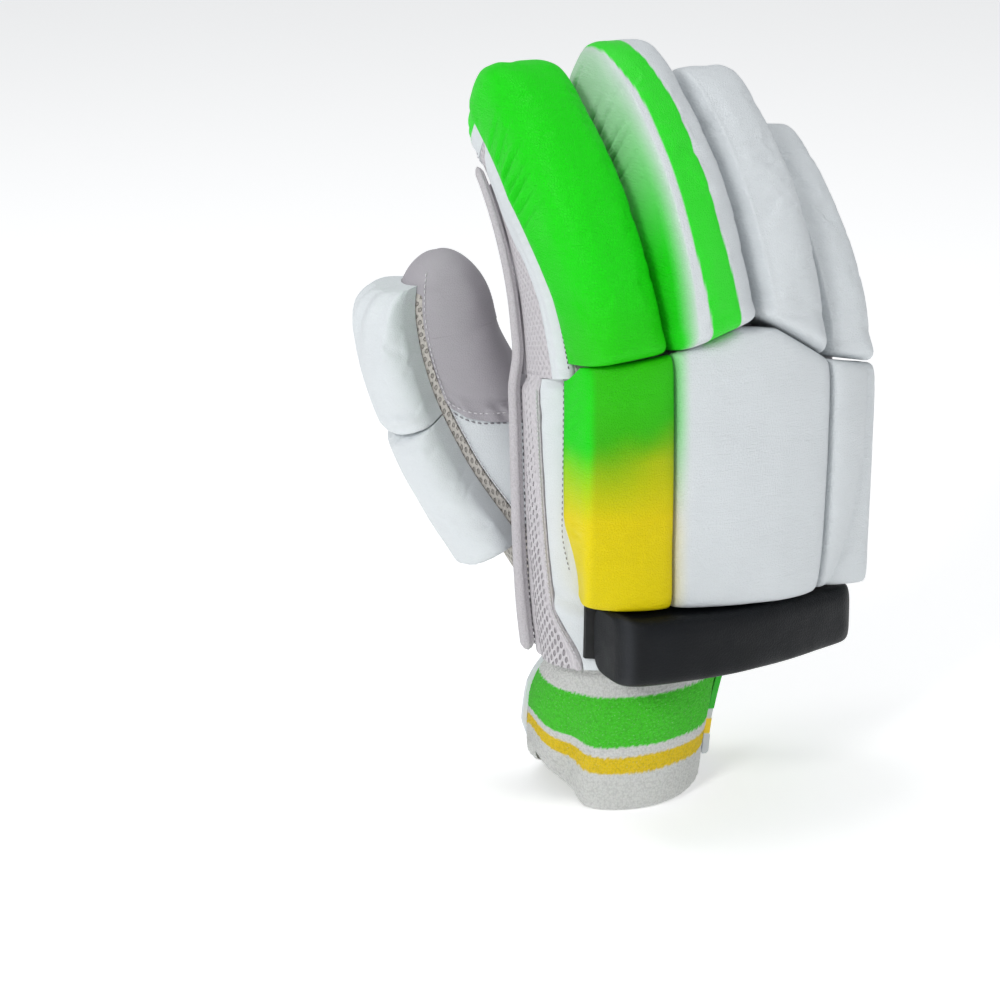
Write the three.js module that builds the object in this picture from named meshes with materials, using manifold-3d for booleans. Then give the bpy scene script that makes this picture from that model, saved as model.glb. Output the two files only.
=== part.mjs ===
// A right-hand cricket batting glove, standing with its fingers up, in millimetres.
// +Z runs from the cuff's hem to the fingers, -Y is the back of the hand, +Y the palm,
// -X the thumb side and +X the little-finger side. The origin is the middle of the wrist opening.
import * as THREE from 'three';
import Module from 'manifold-3d';

const wasm = await Module();
wasm.setup();

// Walls and clearance
const gap = 0.3;
const seatGap = 0.7;
const leatherWall = 1.5;
const meshWall = 2;
const knitWall = 2.6;
const strapWall = 2;

// Cuff and wrist
const cuffHeight = 68;
const wristWidth = 66;
const wristDepth = 64;
const wristSet = 6;
const hemLift = 17;
const strapHeight = 42;
const strapLow = 7;
const strapEnds = { from: -24, to: 142 };
const loopBand = 7;
const loopReach = 9;
const cuffFold = { angle: 203, span: 13, turn: 14, depth: 6 };
const cuffLift = { angle: 170, span: 27 };

// Hand shell
const palmLow = 58;
const handLength = 121;
const handOffset = 21.5;
const palmDepth = 30;
const backDepth = 23.5;
const handSink = 4;
const sideLedge = 6.5;
const handMargin = 1;
const pipingRadius = 2.4;
const holeRadius = 0.9;
const holePitch = 5.5;

// Seams round the hand, in degrees: 0 is the little-finger side, 90 the palm
const panelAngles = { palmLittle: 14, palmIndex: 166, backIndex: 207, backLittle: 333 };

// Fingers and their rolls
const fingerWidth = 30;
const fingerLength = 139;
const rollStand = 27;
const rollOverlap = 1.2;
const tipDepth = 26;
const tipRollShare = 0.6;
const stallPower = 2.6;
const rollPower = 3.2;
const leatherAngles = { from: 24, to: 156 };

// Places along a finger as shares of its length: end of the stall's walls, start of the rounded
// fingertip and end of the roll
const stallEnd = 0.8;
const capStart = 0.84;
const rollEnd = 0.97;

// Thumb
const thumbReach = 50;
const thumbForward = 42;
const thumbHeight = 142;
const thumbWidth = 46;
const thumbDepth = 36;
const thumbRollThickness = 14;
const thumbPower = 2.2;
const thumbAngles = { palmMesh: -140, sideMesh: -34, leather: 60, end: 220 };
const thumbStallEnd = 0.84;
const thumbCapStart = 0.87;
const thumbRolls = { low: 0.33, joint: 0.687, high: 0.945 };
const thumbSeam = { outside: 0.72, inside: 0.48 };

// Back pads and wrist roll
const padStand = 24;
const padRound = 5;
const padOverhang = 1;
const wristRollHeight = 27;
const wristRollDepth = 24;
const wristRollLength = 103;
const wristRollInset = 11;
const backingWall = 1.5;
const backingTab = 4;
const backingShare = 0.66;

// Rows up the hand: centre and half width follow the shift and the width of the hand, palm and back
// the two depths; power sets how square the section is.
const handRows = [
  { up: 0.0, centre: 0.55, width: 0.74, palm: 0.98, back: 1.03, power: 2.3 },
  { up: 0.18, centre: 0.72, width: 0.84, palm: 0.88, back: 1.0, power: 2.4 },
  { up: 0.42, centre: 0.88, width: 0.93, palm: 0.72, back: 0.98, power: 2.5 },
  { up: 0.7, centre: 0.98, width: 0.985, palm: 0.6, back: 1.0, power: 2.6 },
  { up: 1.0, centre: 1.0, width: 1.0, palm: 0.56, back: 1.0, power: 2.8 },
];

// Lines across the back at the edge of each finger, from the index side: heights above the palm's
// lower edge as shares of the hand's length.
const crossLines = [
  { rim: 0.972, knuckle: 1.017, padLow: 0.242 },
  { rim: 0.985, knuckle: 1.025, padLow: 0.232 },
  { rim: 0.99, knuckle: 1.099, padLow: 0.207 },
  { rim: 0.905, knuckle: 0.934, padLow: 0.176 },
  { rim: 0.84, knuckle: 0.884, padLow: 0.15 },
];

// Fingers: widths, shift of the tip, length and stand of the roll as shares; lean at the knuckle
// and further curl in degrees.
const fingerRows = [
  { name: 'index', width: 1.0, tipWidth: 0.97, tipShift: -0.28,
    length: 0.97, stand: 0.86, lean: 10, curl: 56 },
  { name: 'middle', width: 1.05, tipWidth: 0.97, tipShift: -0.14,
    length: 1.0, stand: 1.04, lean: 8.5, curl: 62 },
  { name: 'ring', width: 1.05, tipWidth: 0.93, tipShift: -0.12,
    length: 0.92, stand: 0.95, lean: 8.4, curl: 60 },
  { name: 'little', width: 0.82, tipWidth: 0.78, tipShift: -0.13,
    length: 0.81, stand: 0.86, lean: 8.3, curl: 62 },
];

// Thumb: its middle line as shares of reach (towards -X), forward (towards the palm) and height,
// with the section's width and depth as shares.
const thumbRows = [
  { reach: -0.08, forward: 0.02, up: 0.0, width: 0.92, depth: 0.95 },
  { reach: 0.14, forward: 0.42, up: 0.17, width: 1.0, depth: 1.0 },
  { reach: 0.4, forward: 0.72, up: 0.36, width: 1.0, depth: 1.0 },
  { reach: 0.7, forward: 0.9, up: 0.55, width: 0.92, depth: 0.95 },
  { reach: 0.93, forward: 1.0, up: 0.75, width: 0.8, depth: 0.9 },
  { reach: 1.02, forward: 1.07, up: 1.0, width: 0.7, depth: 0.84 },
];

// Cuff: rows up its height with half width, half depth and shift towards the hand as shares.
const cuffRows = [
  { up: 0.0, width: 0.98, depth: 0.98, shift: 0.0, set: 1.0, fold: 1.0 },
  { up: 0.05, width: 1.0, depth: 1.0, shift: 0.0, set: 1.0, fold: 1.0 },
  { up: 0.3, width: 1.03, depth: 1.0, shift: 0.04, set: 0.9, fold: 0.9 },
  { up: 0.6, width: 1.08, depth: 0.92, shift: 0.15, set: 0.4, fold: 0.35 },
  { up: 0.85, width: 1.11, depth: 0.72, shift: 0.42, set: -0.1, fold: 0.0 },
  { up: 1.0, width: 1.11, depth: 0.68, shift: 0.55, set: -0.2, fold: 0.0 },
];

const radians = THREE.MathUtils.degToRad;
const lerp = THREE.MathUtils.lerp;
const clamp = THREE.MathUtils.clamp;
const vec = (x, y, z) => new THREE.Vector3(x, y, z);
const spread = (count, from, to) => Array.from({ length: count }, (_, i) => lerp(from, to, i / (count - 1)));

// Value of every column of a table at one place along it, with rounded passage through the rows.
function readRows(rows, key, at) {
  const place = clamp(at, rows[0][key], rows[rows.length - 1][key]);
  let i = 0;
  while (i < rows.length - 2 && place > rows[i + 1][key]) i += 1;
  const before = rows[Math.max(i - 1, 0)];
  const low = rows[i];
  const high = rows[i + 1];
  const after = rows[Math.min(i + 2, rows.length - 1)];
  const span = high[key] - low[key];
  const t = (place - low[key]) / span;
  const out = {};
  for (const name of Object.keys(low)) {
    if (typeof low[name] !== 'number') continue;
    const slopeLow = ((high[name] - before[name]) / (high[key] - before[key] || span)) * span;
    const slopeHigh = ((after[name] - low[name]) / (after[key] - low[key] || span)) * span;
    const a = 2 * low[name] - 2 * high[name] + slopeLow + slopeHigh;
    const b = 3 * high[name] - 3 * low[name] - 2 * slopeLow - slopeHigh;
    out[name] = a * t ** 3 + b * t ** 2 + slopeLow * t + low[name];
  }
  return out;
}

// Point of a rounded-square section with half sizes 1 at a parameter angle.
function squircle(angle, power) {
  const c = Math.cos(angle);
  const s = Math.sin(angle);
  return [Math.sign(c) * Math.abs(c) ** (2 / power), Math.sign(s) * Math.abs(s) ** (2 / power)];
}

// One closed body from two nets of points with the same rows and columns: the outer and the inner
// face of a wall or pad, joined all round. A wrapped net closes on itself, a row may be one point.
function body(outer, inner, wrap = false) {
  const rows = outer.length;
  const columns = outer[0].length;
  const places = [];
  const known = new Map();
  const number = (p) => {
    const key = [p.x, p.y, p.z].map((v) => Math.round(v * 500)).join(',');
    if (!known.has(key)) {
      known.set(key, places.length / 3);
      places.push(p.x, p.y, p.z);
    }
    return known.get(key);
  };
  const net = (grid) => grid.map((row) => row.map(number));
  const out = net(outer);
  const back = net(inner);
  const faces = [];
  const triangle = (a, b, c) => {
    if (a !== b && b !== c && c !== a) faces.push(a, b, c);
  };
  const quad = (a, b, c, d) => {
    triangle(a, b, c);
    triangle(a, c, d);
  };
  const lastColumn = wrap ? columns : columns - 1;
  for (let r = 0; r < rows - 1; r += 1) {
    for (let i = 0; i < lastColumn; i += 1) {
      const j = (i + 1) % columns;
      quad(out[r][i], out[r][j], out[r + 1][j], out[r + 1][i]);
      quad(back[r + 1][i], back[r + 1][j], back[r][j], back[r][i]);
    }
    if (!wrap) {
      quad(back[r][0], out[r][0], out[r + 1][0], back[r + 1][0]);
      const e = columns - 1;
      quad(out[r][e], back[r][e], back[r + 1][e], out[r + 1][e]);
    }
  }
  for (let i = 0; i < lastColumn; i += 1) {
    const j = (i + 1) % columns;
    quad(back[0][i], back[0][j], out[0][j], out[0][i]);
    quad(out[rows - 1][i], out[rows - 1][j], back[rows - 1][j], back[rows - 1][i]);
  }
  return facingOut(places, faces);
}

// A bar or cord: closed rings along a line, with both ends drawn together to a point.
function bar(rings) {
  const middle = (ring) => ring.reduce((sum, p) => sum.add(p), vec(0, 0, 0)).divideScalar(ring.length);
  const first = rings[0];
  const last = rings[rings.length - 1];
  const all = [[middle(first)], ...rings, [middle(last)]];
  const places = [];
  const faces = [];
  const start = all.map((ring) => {
    const at = places.length / 3;
    ring.forEach((p) => places.push(p.x, p.y, p.z));
    return at;
  });
  const count = first.length;
  for (let r = 0; r < all.length - 1; r += 1) {
    for (let i = 0; i < count; i += 1) {
      const j = (i + 1) % count;
      const low = r === 0 ? [start[0], start[0]] : [start[r] + i, start[r] + j];
      const high = r === all.length - 2 ? [start[r + 1], start[r + 1]] : [start[r + 1] + i, start[r + 1] + j];
      if (r > 0) faces.push(low[0], low[1], high[1]);
      if (r < all.length - 2) faces.push(low[0], high[1], high[0]);
    }
  }
  return facingOut(places, faces);
}

// Turns the faces round where the enclosed volume comes out negative.
function facingOut(places, faces) {
  const corner = (i) => vec(places[3 * i], places[3 * i + 1], places[3 * i + 2]);
  let volume = 0;
  for (let f = 0; f < faces.length; f += 3) {
    const [a, b, c] = [corner(faces[f]), corner(faces[f + 1]), corner(faces[f + 2])];
    volume += a.dot(b.cross(c)) / 6;
  }
  const turned = [...faces];
  if (volume < 0) {
    for (let f = 0; f < faces.length; f += 3) [turned[f + 1], turned[f + 2]] = [faces[f + 2], faces[f + 1]];
  }
  return { places, faces: turned };
}

function toSolid({ places, faces }) {
  const vertProperties = new Float32Array(places);
  const triVerts = new Uint32Array(faces);
  return new wasm.Manifold(new wasm.Mesh({ numProp: 3, vertProperties, triVerts }));
}

function fromSolid(solid) {
  const mesh = solid.getMesh();
  return { places: Array.from(mesh.vertProperties), faces: Array.from(mesh.triVerts) };
}

const glove = new THREE.Group();

function addPiece(name, { places, faces }, colour, roughness) {
  const geometry = new THREE.BufferGeometry();
  geometry.setAttribute('position', new THREE.Float32BufferAttribute(places, 3));
  geometry.setIndex(faces);
  geometry.computeVertexNormals();
  const material = new THREE.MeshStandardMaterial({ color: colour, roughness, metalness: 0 });
  const mesh = new THREE.Mesh(geometry, material);
  mesh.name = name;
  glove.add(mesh);
}

const white = 0xe6ebee;
const lilac = 0xb9b4bf;
const knit = 0xd8d5db;
const beige = 0xc9c5bf;
const green = 0x1fe01f;
const charcoal = 0x23282c;
const black = 0x15181a;

// Slots of the fingers across the hand, from the index side
const slotEdges = [sideLedge];
fingerRows.forEach((f) => slotEdges.push(slotEdges[slotEdges.length - 1] + f.width * fingerWidth + gap));
const handWidth = slotEdges[slotEdges.length - 1] - handMargin;
const slots = slotEdges.map((edge) => edge + handOffset - handWidth / 2);
const slotMiddle = (i) => (slots[i] + slots[i + 1]) / 2;

// Height of one of the cross lines at a place across the hand
function lineHeight(name, x) {
  let i = 0;
  while (i < slots.length - 2 && x > slots[i + 1]) i += 1;
  const t = clamp((x - slots[i]) / (slots[i + 1] - slots[i]), 0, 1);
  return palmLow + handLength * lerp(crossLines[i][name], crossLines[i + 1][name], t);
}

// Lean of the knuckle planes at a place across the hand: how far they drop towards the palm
function leanAt(x) {
  const place = clamp(x, slotMiddle(0), slotMiddle(3));
  let i = 0;
  while (i < 2 && place > slotMiddle(i + 1)) i += 1;
  const t = (place - slotMiddle(i)) / (slotMiddle(i + 1) - slotMiddle(i));
  return Math.tan(radians(lerp(fingerRows[i].lean, fingerRows[i + 1].lean, t)));
}

// Hand section at a share of its height, grown outwards by an offset
function handSection(up, grow) {
  const row = readRows(handRows, 'up', up);
  return {
    x: row.centre * handOffset,
    halfWidth: (row.width * handWidth) / 2 + grow,
    palm: row.palm * palmDepth + grow,
    back: row.back * backDepth + grow,
    power: row.power,
  };
}

// The knuckle planes pass through the crest line on the back of the hand and lean to the palm.
const crestPlane = -handSink - backDepth - rollStand;
const rimHeight = (x, y) => lineHeight('rim', x) - (y - crestPlane) * leanAt(x);
const knuckleHeight = (x, y) => lineHeight('knuckle', x) - (y - crestPlane) * leanAt(x);

function handPoint(angle, up, grow = 0) {
  const section = handSection(up, grow);
  const [c, s] = squircle(angle, section.power);
  const x = section.x + section.halfWidth * c;
  const y = -handSink + s * (s > 0 ? section.palm : section.back);
  return vec(x, y, lerp(palmLow, rimHeight(x, y), up));
}

// Depth of the hand's back or palm face at a place across and up
function handFace(side, x, z) {
  let y = -handSink;
  for (let step = 0; step < 4; step += 1) {
    const up = clamp((z - palmLow) / (rimHeight(x, y) - palmLow), 0, 1);
    const section = handSection(up, 0);
    const across = clamp(Math.abs(x - section.x) / section.halfWidth, 0, 0.93);
    const depth = (1 - across ** section.power) ** (1 / section.power);
    y = side === 'palm' ? -handSink + depth * section.palm : -handSink - depth * section.back;
  }
  return y;
}

// A panel of the hand between two angles; edge gaps keep it clear of its neighbours.
function handPanel(from, to, columns, wall) {
  const rows = spread(8, 0, 1);
  const edge = gap / backDepth;
  const angles = spread(columns, radians(from) + edge, radians(to) - edge);
  const net = (grow) => rows.map((up) => angles.map((a) => handPoint(a, up, grow)));
  return body(net(0), net(-wall));
}

// Fingers
const fingers = fingerRows.map((row, i) => {
  const middle = slotMiddle(i);
  const width = row.width * fingerWidth;
  const foot = (lineHeight('knuckle', slots[i]) + lineHeight('knuckle', slots[i + 1])) / 2;
  const backFace = handFace('back', middle, foot);
  const palmFace = handFace('palm', middle, foot);
  const stand = row.stand * rollStand;
  const lean = radians(row.lean);
  return {
    ...row,
    middle,
    width,
    lean,
    curl: radians(row.curl),
    length: row.length * fingerLength,
    crest: backFace - stand,
    foot,
    rollThickness: stand / Math.cos(lean) + gap,
    depth: (palmFace - backFace) / Math.cos(lean) - 2 * gap,
    ledge: i === 0 ? sideLedge : 0,
    tipShift: row.tipShift * fingerWidth,
    tipWidth: row.tipWidth * fingerWidth,
  };
});

// Share of the full section that is left in the rounded fingertip
const tipShare = (t) => (
  t <= capStart ? 1 : Math.sqrt(Math.max(0, 1 - ((t - capStart) / (1 - capStart)) ** 2))
);

// Frame of a finger at a share of its length: a circular arc from the knuckle, seen from the side
function fingerFrame(finger, t) {
  const radius = finger.length / finger.curl;
  const angle = finger.lean + finger.curl * t;
  const outward = vec(0, -Math.cos(angle), Math.sin(angle));
  const crest = vec(
    finger.middle + finger.tipShift * t,
    finger.crest + radius * (Math.cos(finger.lean) - Math.cos(angle)),
    finger.foot + radius * (Math.sin(angle) - Math.sin(finger.lean)),
  );
  const rollThickness = finger.rollThickness * lerp(1, tipRollShare, t);
  const depth = lerp(finger.depth, tipDepth, Math.min(1, t * 1.15));
  const ledge = finger.ledge * (1 - 0.6 * t);
  const width = lerp(finger.width, finger.tipWidth, t) - 2 * (rollOverlap + seatGap) + ledge;
  const centre = crest.clone().addScaledVector(outward, -(rollThickness + depth / 2));
  centre.x -= ledge / 2;
  return { outward, centre, rollThickness, depth, width, ledge };
}

// Moves a finger's foot onto the rim or the knuckle line; the shift fades out up the finger.
function seatFoot(finger, point, t, height) {
  const fade = Math.max(0, 1 - t / 0.3) ** 2;
  const plane = finger.foot - (point.y - finger.crest) * Math.tan(finger.lean);
  point.z += (height(point.x, point.y) - plane) * fade;
  return point;
}

function fingerPoint(finger, angle, t, grow) {
  const frame = fingerFrame(finger, t);
  const share = tipShare(t);
  const [c, s] = squircle(angle, stallPower);
  const across = c * Math.max(0, (frame.width / 2 + grow) * share);
  const deep = s * Math.max(0, (frame.depth / 2 + grow) * share);
  const point = frame.centre.clone().addScaledVector(frame.outward, -deep);
  point.x += across;
  return seatFoot(finger, point, t, (x, y) => rimHeight(x, y) + gap);
}

function fingerPanel(finger, from, to, columns, wall) {
  const rows = spread(7, 0, stallEnd);
  const edge = gap / tipDepth;
  const angles = spread(columns, radians(from) + edge, radians(to) - edge);
  const net = (grow) => rows.map((t) => angles.map((a) => fingerPoint(finger, a, t, grow)));
  return body(net(0), net(-wall));
}

function fingerCap(finger) {
  const start = stallEnd + gap / finger.length;
  const end = 1 - leatherWall / finger.length;
  const outerRows = [start, capStart, 0.91, rollEnd, 1];
  const innerRows = outerRows.map((t) => (t === start ? start : lerp(start, end, (t - start) / (1 - start))));
  const angles = spread(13, 0, 2 * Math.PI).slice(0, 12);
  const outer = outerRows.map((t) => angles.map((a) => fingerPoint(finger, a, t, 0)));
  const inner = innerRows.map((t, r) => {
    const shrink = r === outerRows.length - 1;
    const middle = fingerFrame(finger, t).centre;
    return angles.map((a) => (shrink ? middle.clone() : fingerPoint(finger, a, t, -leatherWall)));
  });
  return body(outer, inner, true);
}

// A padded roll: its underside follows the stall, its crown stands on the crest line, and both ends
// are rounded down. The foot is seated on the knuckle line. Beside a ledge its edge stays on top.
function fingerRoll(finger) {
  const rows = [0, 0.02, 0.08, 0.2, 0.35, 0.5, 0.65, 0.76, capStart, 0.91, rollEnd];
  const columns = spread(9, 0, Math.PI);
  const footShare = 0.86;
  const outer = [];
  const inner = [];
  for (const t of rows) {
    const frame = fingerFrame(finger, t);
    const share = tipShare(t);
    const foot = Math.min(1, footShare + (1 - footShare) * (t / rows[1]));
    const tip = Math.sqrt(Math.max(0.03, 1 - Math.max(0, (t - 0.76) / (rollEnd - 0.76)) ** 2.4));
    const halfDepth = (frame.depth / 2 + seatGap) * share;
    const halfWidth = (frame.width / 2 + seatGap) * share;
    const top = halfDepth + frame.rollThickness * foot * tip - seatGap;
    const sideAngle = Math.asin(0.3 ** (stallPower / 2));
    const onLedge = Math.max(0, 1 - (2 * frame.ledge) / (frame.width + 2 * seatGap));
    const ledgeAngle = frame.ledge > 0 ? Math.acos(onLedge ** (stallPower / 2)) : sideAngle;
    const underAngle = (a) => lerp(sideAngle, Math.PI - ledgeAngle, a / Math.PI);
    const under = columns.map((a) => squircle(underAngle(a), stallPower));
    const right = under[0][0] * halfWidth + rollOverlap;
    const left = under[under.length - 1][0] * halfWidth - rollOverlap;
    const rightLevel = under[0][1] * halfDepth;
    const leftLevel = under[under.length - 1][1] * halfDepth;
    const place = (across, level) => {
      const point = frame.centre.clone().addScaledVector(frame.outward, level);
      point.x += across;
      return seatFoot(finger, point, t, (x, y) => knuckleHeight(x, y) + gap);
    };
    outer.push(columns.map((a) => {
      const [c, q] = squircle(a, rollPower);
      const level = lerp(leftLevel, rightLevel, (c + 1) / 2);
      return place(lerp(left, right, (c + 1) / 2), level + q * (top - level));
    }));
    inner.push(under.map(([c, q]) => place(c * halfWidth, q * halfDepth)));
  }
  return body(outer, inner);
}

// Thumb
const thumbFoot = palmLow + 4;
const outwards = vec(-0.94, 0.34, 0);
const thumbCurve = new THREE.CatmullRomCurve3(
  thumbRows.map((r) => vec(-r.reach * thumbReach, r.forward * thumbForward, thumbFoot + r.up * thumbHeight)),
);
const thumbTipShare = (t) =>
  t <= thumbCapStart ? 1 : Math.sqrt(Math.max(0, 1 - ((t - thumbCapStart) / (1 - thumbCapStart)) ** 2));

function thumbFrame(t) {
  const along = thumbCurve.getTangent(t);
  const side = outwards.clone().addScaledVector(along, -outwards.dot(along)).normalize();
  const back = along.clone().cross(side);
  const row = readRows(thumbRows, 'up', t);
  const halfWidth = (row.width * thumbWidth) / 2;
  const halfDepth = (row.depth * thumbDepth) / 2;
  return { centre: thumbCurve.getPoint(t), side, back, halfWidth, halfDepth };
}

// Point on the thumb's stall: angle 0 faces away from the hand, 90 degrees the back of the hand.
function thumbPoint(angle, t, grow) {
  const frame = thumbFrame(t);
  const [c, s] = squircle(angle, thumbPower);
  const share = thumbTipShare(t);
  const out = c * Math.max(0, (frame.halfWidth + grow) * share);
  const deep = s * Math.max(0, (frame.halfDepth + grow) * share);
  return frame.centre.clone().addScaledVector(frame.side, out).addScaledVector(frame.back, deep);
}

const seamAt = (share) => lerp(thumbSeam.outside, thumbSeam.inside, share);

function thumbPanel(from, to, columns, wall, low, high) {
  const edge = (2 * gap) / thumbWidth;
  const angles = spread(columns, radians(from) + edge, radians(to) - edge);
  const shares = spread(8, 0, 1);
  const net = (grow) => shares.map((v) => angles.map((a, i) => {
    const across = i / (columns - 1);
    return thumbPoint(a, lerp(low(across), high(across), v), grow);
  }));
  return body(net(0), net(-wall));
}

function thumbCap() {
  const start = thumbStallEnd + gap / thumbHeight;
  const rows = [start, thumbCapStart, 0.92, 0.96, 0.99, 1];
  const end = 1 - leatherWall / thumbHeight;
  const angles = spread(17, 0, 2 * Math.PI).slice(0, 16);
  const outer = rows.map((t) => angles.map((a) => thumbPoint(a, t, 0)));
  const inner = rows.map((t, r) => {
    const at = lerp(start, end, (t - start) / (1 - start));
    const last = r === rows.length - 1;
    return angles.map((a) => (last ? thumbFrame(at).centre : thumbPoint(a, at, -leatherWall)));
  });
  return body(outer, inner, true);
}

function thumbRoll(low, high) {
  const shares = [0, 0.04, 0.14, 0.38, 0.62, 0.86, 0.96, 1];
  const turns = spread(9, -1, 1);
  const outer = [];
  const inner = [];
  for (const v of shares) {
    const t = lerp(low, high, v);
    const end = Math.min(1, 0.7 + 7.5 * Math.min(v, 1 - v));
    outer.push(turns.map((u) => {
      const angle = radians(lerp(thumbAngles.sideMesh, thumbAngles.leather - 10, (u + 1) / 2));
      const height = thumbRollThickness * end * (1 - Math.abs(u) ** 5) ** 0.2 + leatherWall;
      return thumbPoint(angle, t, seatGap + height);
    }));
    inner.push(turns.map((u) => {
      const angle = radians(lerp(thumbAngles.sideMesh, thumbAngles.leather - 10, (u + 1) / 2));
      return thumbPoint(angle, t, seatGap);
    }));
  }
  return body(outer, inner);
}

// Filled shapes of the hand and of the thumb stall, for the openings between them
function filledHand(grow) {
  const angles = spread(33, 0, 2 * Math.PI).slice(0, 32);
  const ups = [-0.1, ...spread(8, 0, 1)];
  return toSolid(bar(ups.map((up) => angles.map((a) => handPoint(a, up, grow)))));
}

function filledThumb(grow) {
  const angles = spread(25, 0, 2 * Math.PI).slice(0, 24);
  return toSolid(bar(spread(10, 0, thumbStallEnd).map((t) => angles.map((a) => thumbPoint(a, t, grow)))));
}

const handSolid = filledHand(gap);
const thumbHollow = filledThumb(-meshWall);
const largest = (solid) => solid.decompose().sort((a, b) => b.volume() - a.volume())[0];
const besideHand = (piece) => fromSolid(largest(toSolid(piece).subtract(handSolid)));

// Hand shell
const palmPanel = handPanel(panelAngles.palmLittle, panelAngles.palmIndex, 15, leatherWall);

// Ventilation holes in two staggered rows below each finger
function palmHoles() {
  const length = 4 * leatherWall;
  const places = [];
  for (const finger of fingers) {
    [-1, 0, 1].forEach((k) => places.push([finger.middle + k * holePitch, finger.foot - 3.2 * holePitch]));
    [-1.5, -0.5, 0.5].forEach((k) => {
      places.push([finger.middle + k * holePitch, finger.foot - 4.1 * holePitch]);
    });
  }
  return places.map(([x, z]) => wasm.Manifold.cylinder(length, holeRadius, holeRadius, 6, true)
    .rotate([90, 0, 0])
    .translate([x, handFace('palm', x, z), z]));
}

const openPalm = toSolid(palmPanel).subtract(thumbHollow);
const piercedPalm = palmHoles().reduce((palm, hole) => palm.subtract(hole), openPalm);
addPiece('palm_leather', fromSolid(piercedPalm), lilac, 0.6);
addPiece('index_side_mesh', handPanel(panelAngles.palmIndex, panelAngles.backIndex, 6, meshWall), knit, 0.9);
const backPanel = handPanel(panelAngles.backIndex, panelAngles.backLittle, 12, leatherWall);
addPiece('back_leather', backPanel, white, 0.5);
const littleSide = handPanel(panelAngles.backLittle - 360, panelAngles.palmLittle, 6, meshWall);
addPiece('little_side_mesh', littleSide, knit, 0.9);

// Rolled edge that follows a line of seam points, thinner towards its upper end
function piping(line, radii) {
  const curve = new THREE.CatmullRomCurve3(line);
  const turns = spread(7, 0, 2 * Math.PI).slice(0, 6);
  return bar(spread(line.length, 0, 1).map((t) => {
    const along = curve.getTangent(t);
    const across = along.clone().cross(vec(0, 1, 0)).normalize();
    const deep = along.clone().cross(across);
    const centre = curve.getPoint(t);
    const radius = lerp(radii[0], radii[1], t);
    return turns.map((a) => centre.clone()
      .addScaledVector(across, radius * Math.cos(a))
      .addScaledVector(deep, radius * Math.sin(a)));
  }));
}

const indexRadii = [pipingRadius, pipingRadius * 0.6];
const indexStand = (share) => lerp(indexRadii[0], indexRadii[1], share) + seatGap;
const indexSeam = [
  ...spread(11, 0.01, 0.97).map((up) => handPoint(radians(panelAngles.palmIndex), up, indexStand(up / 2))),
  ...spread(9, 0.06, 0.76).map((t) => (
    fingerPoint(fingers[0], radians(leatherAngles.to), t, indexStand((1 + t) / 2))
  )),
];
const littleRadii = [pipingRadius, pipingRadius];
const littleSeam = spread(14, 0.01, 0.98)
  .map((up) => handPoint(radians(panelAngles.palmLittle), up, pipingRadius + seatGap));
addPiece('palm_piping_index', piping(indexSeam, indexRadii), knit, 0.9);
addPiece('palm_piping_little', piping(littleSeam, littleRadii), lilac, 0.7);

// Fingers
for (const finger of fingers) {
  const { from, to } = leatherAngles;
  addPiece(`${finger.name}_finger_leather`, fingerPanel(finger, from, to, 7, leatherWall), lilac, 0.6);
  addPiece(`${finger.name}_finger_mesh`, fingerPanel(finger, to, from + 360, 11, meshWall), knit, 0.9);
  addPiece(`${finger.name}_fingertip_cap`, fingerCap(finger), white, 0.5);
  addPiece(`${finger.name}_roll`, fingerRoll(finger), finger.name === 'index' ? green : white, 0.4);
}

// Thumb
const even = (value) => () => value;
const { palmMesh, sideMesh, leather, end } = thumbAngles;
const seamGap = gap / thumbHeight;
const top = even(thumbStallEnd);
const palmMeshPanel = thumbPanel(palmMesh, sideMesh, 9, meshWall, even(0.02), top);
const sideMeshPanel = thumbPanel(sideMesh, leather, 7, meshWall, even(0.1), top);
const upperLeather = thumbPanel(leather, end, 11, leatherWall, (s) => seamAt(s) + seamGap, top);
const patch = thumbPanel(leather, end, 11, leatherWall, even(0.12), seamAt);
addPiece('thumb_palm_mesh', besideHand(palmMeshPanel), beige, 0.9);
addPiece('thumb_side_mesh', besideHand(sideMeshPanel), beige, 0.9);
addPiece('thumb_leather', besideHand(upperLeather), lilac, 0.6);
addPiece('thumb_patch', besideHand(patch), white, 0.5);
addPiece('thumb_tip_cap', thumbCap(), lilac, 0.6);
addPiece('thumb_tip_roll', thumbRoll(thumbRolls.joint, thumbRolls.high), white, 0.45);
addPiece('thumb_base_roll', thumbRoll(thumbRolls.low, thumbRolls.joint - 2 * seamGap), white, 0.45);

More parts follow.
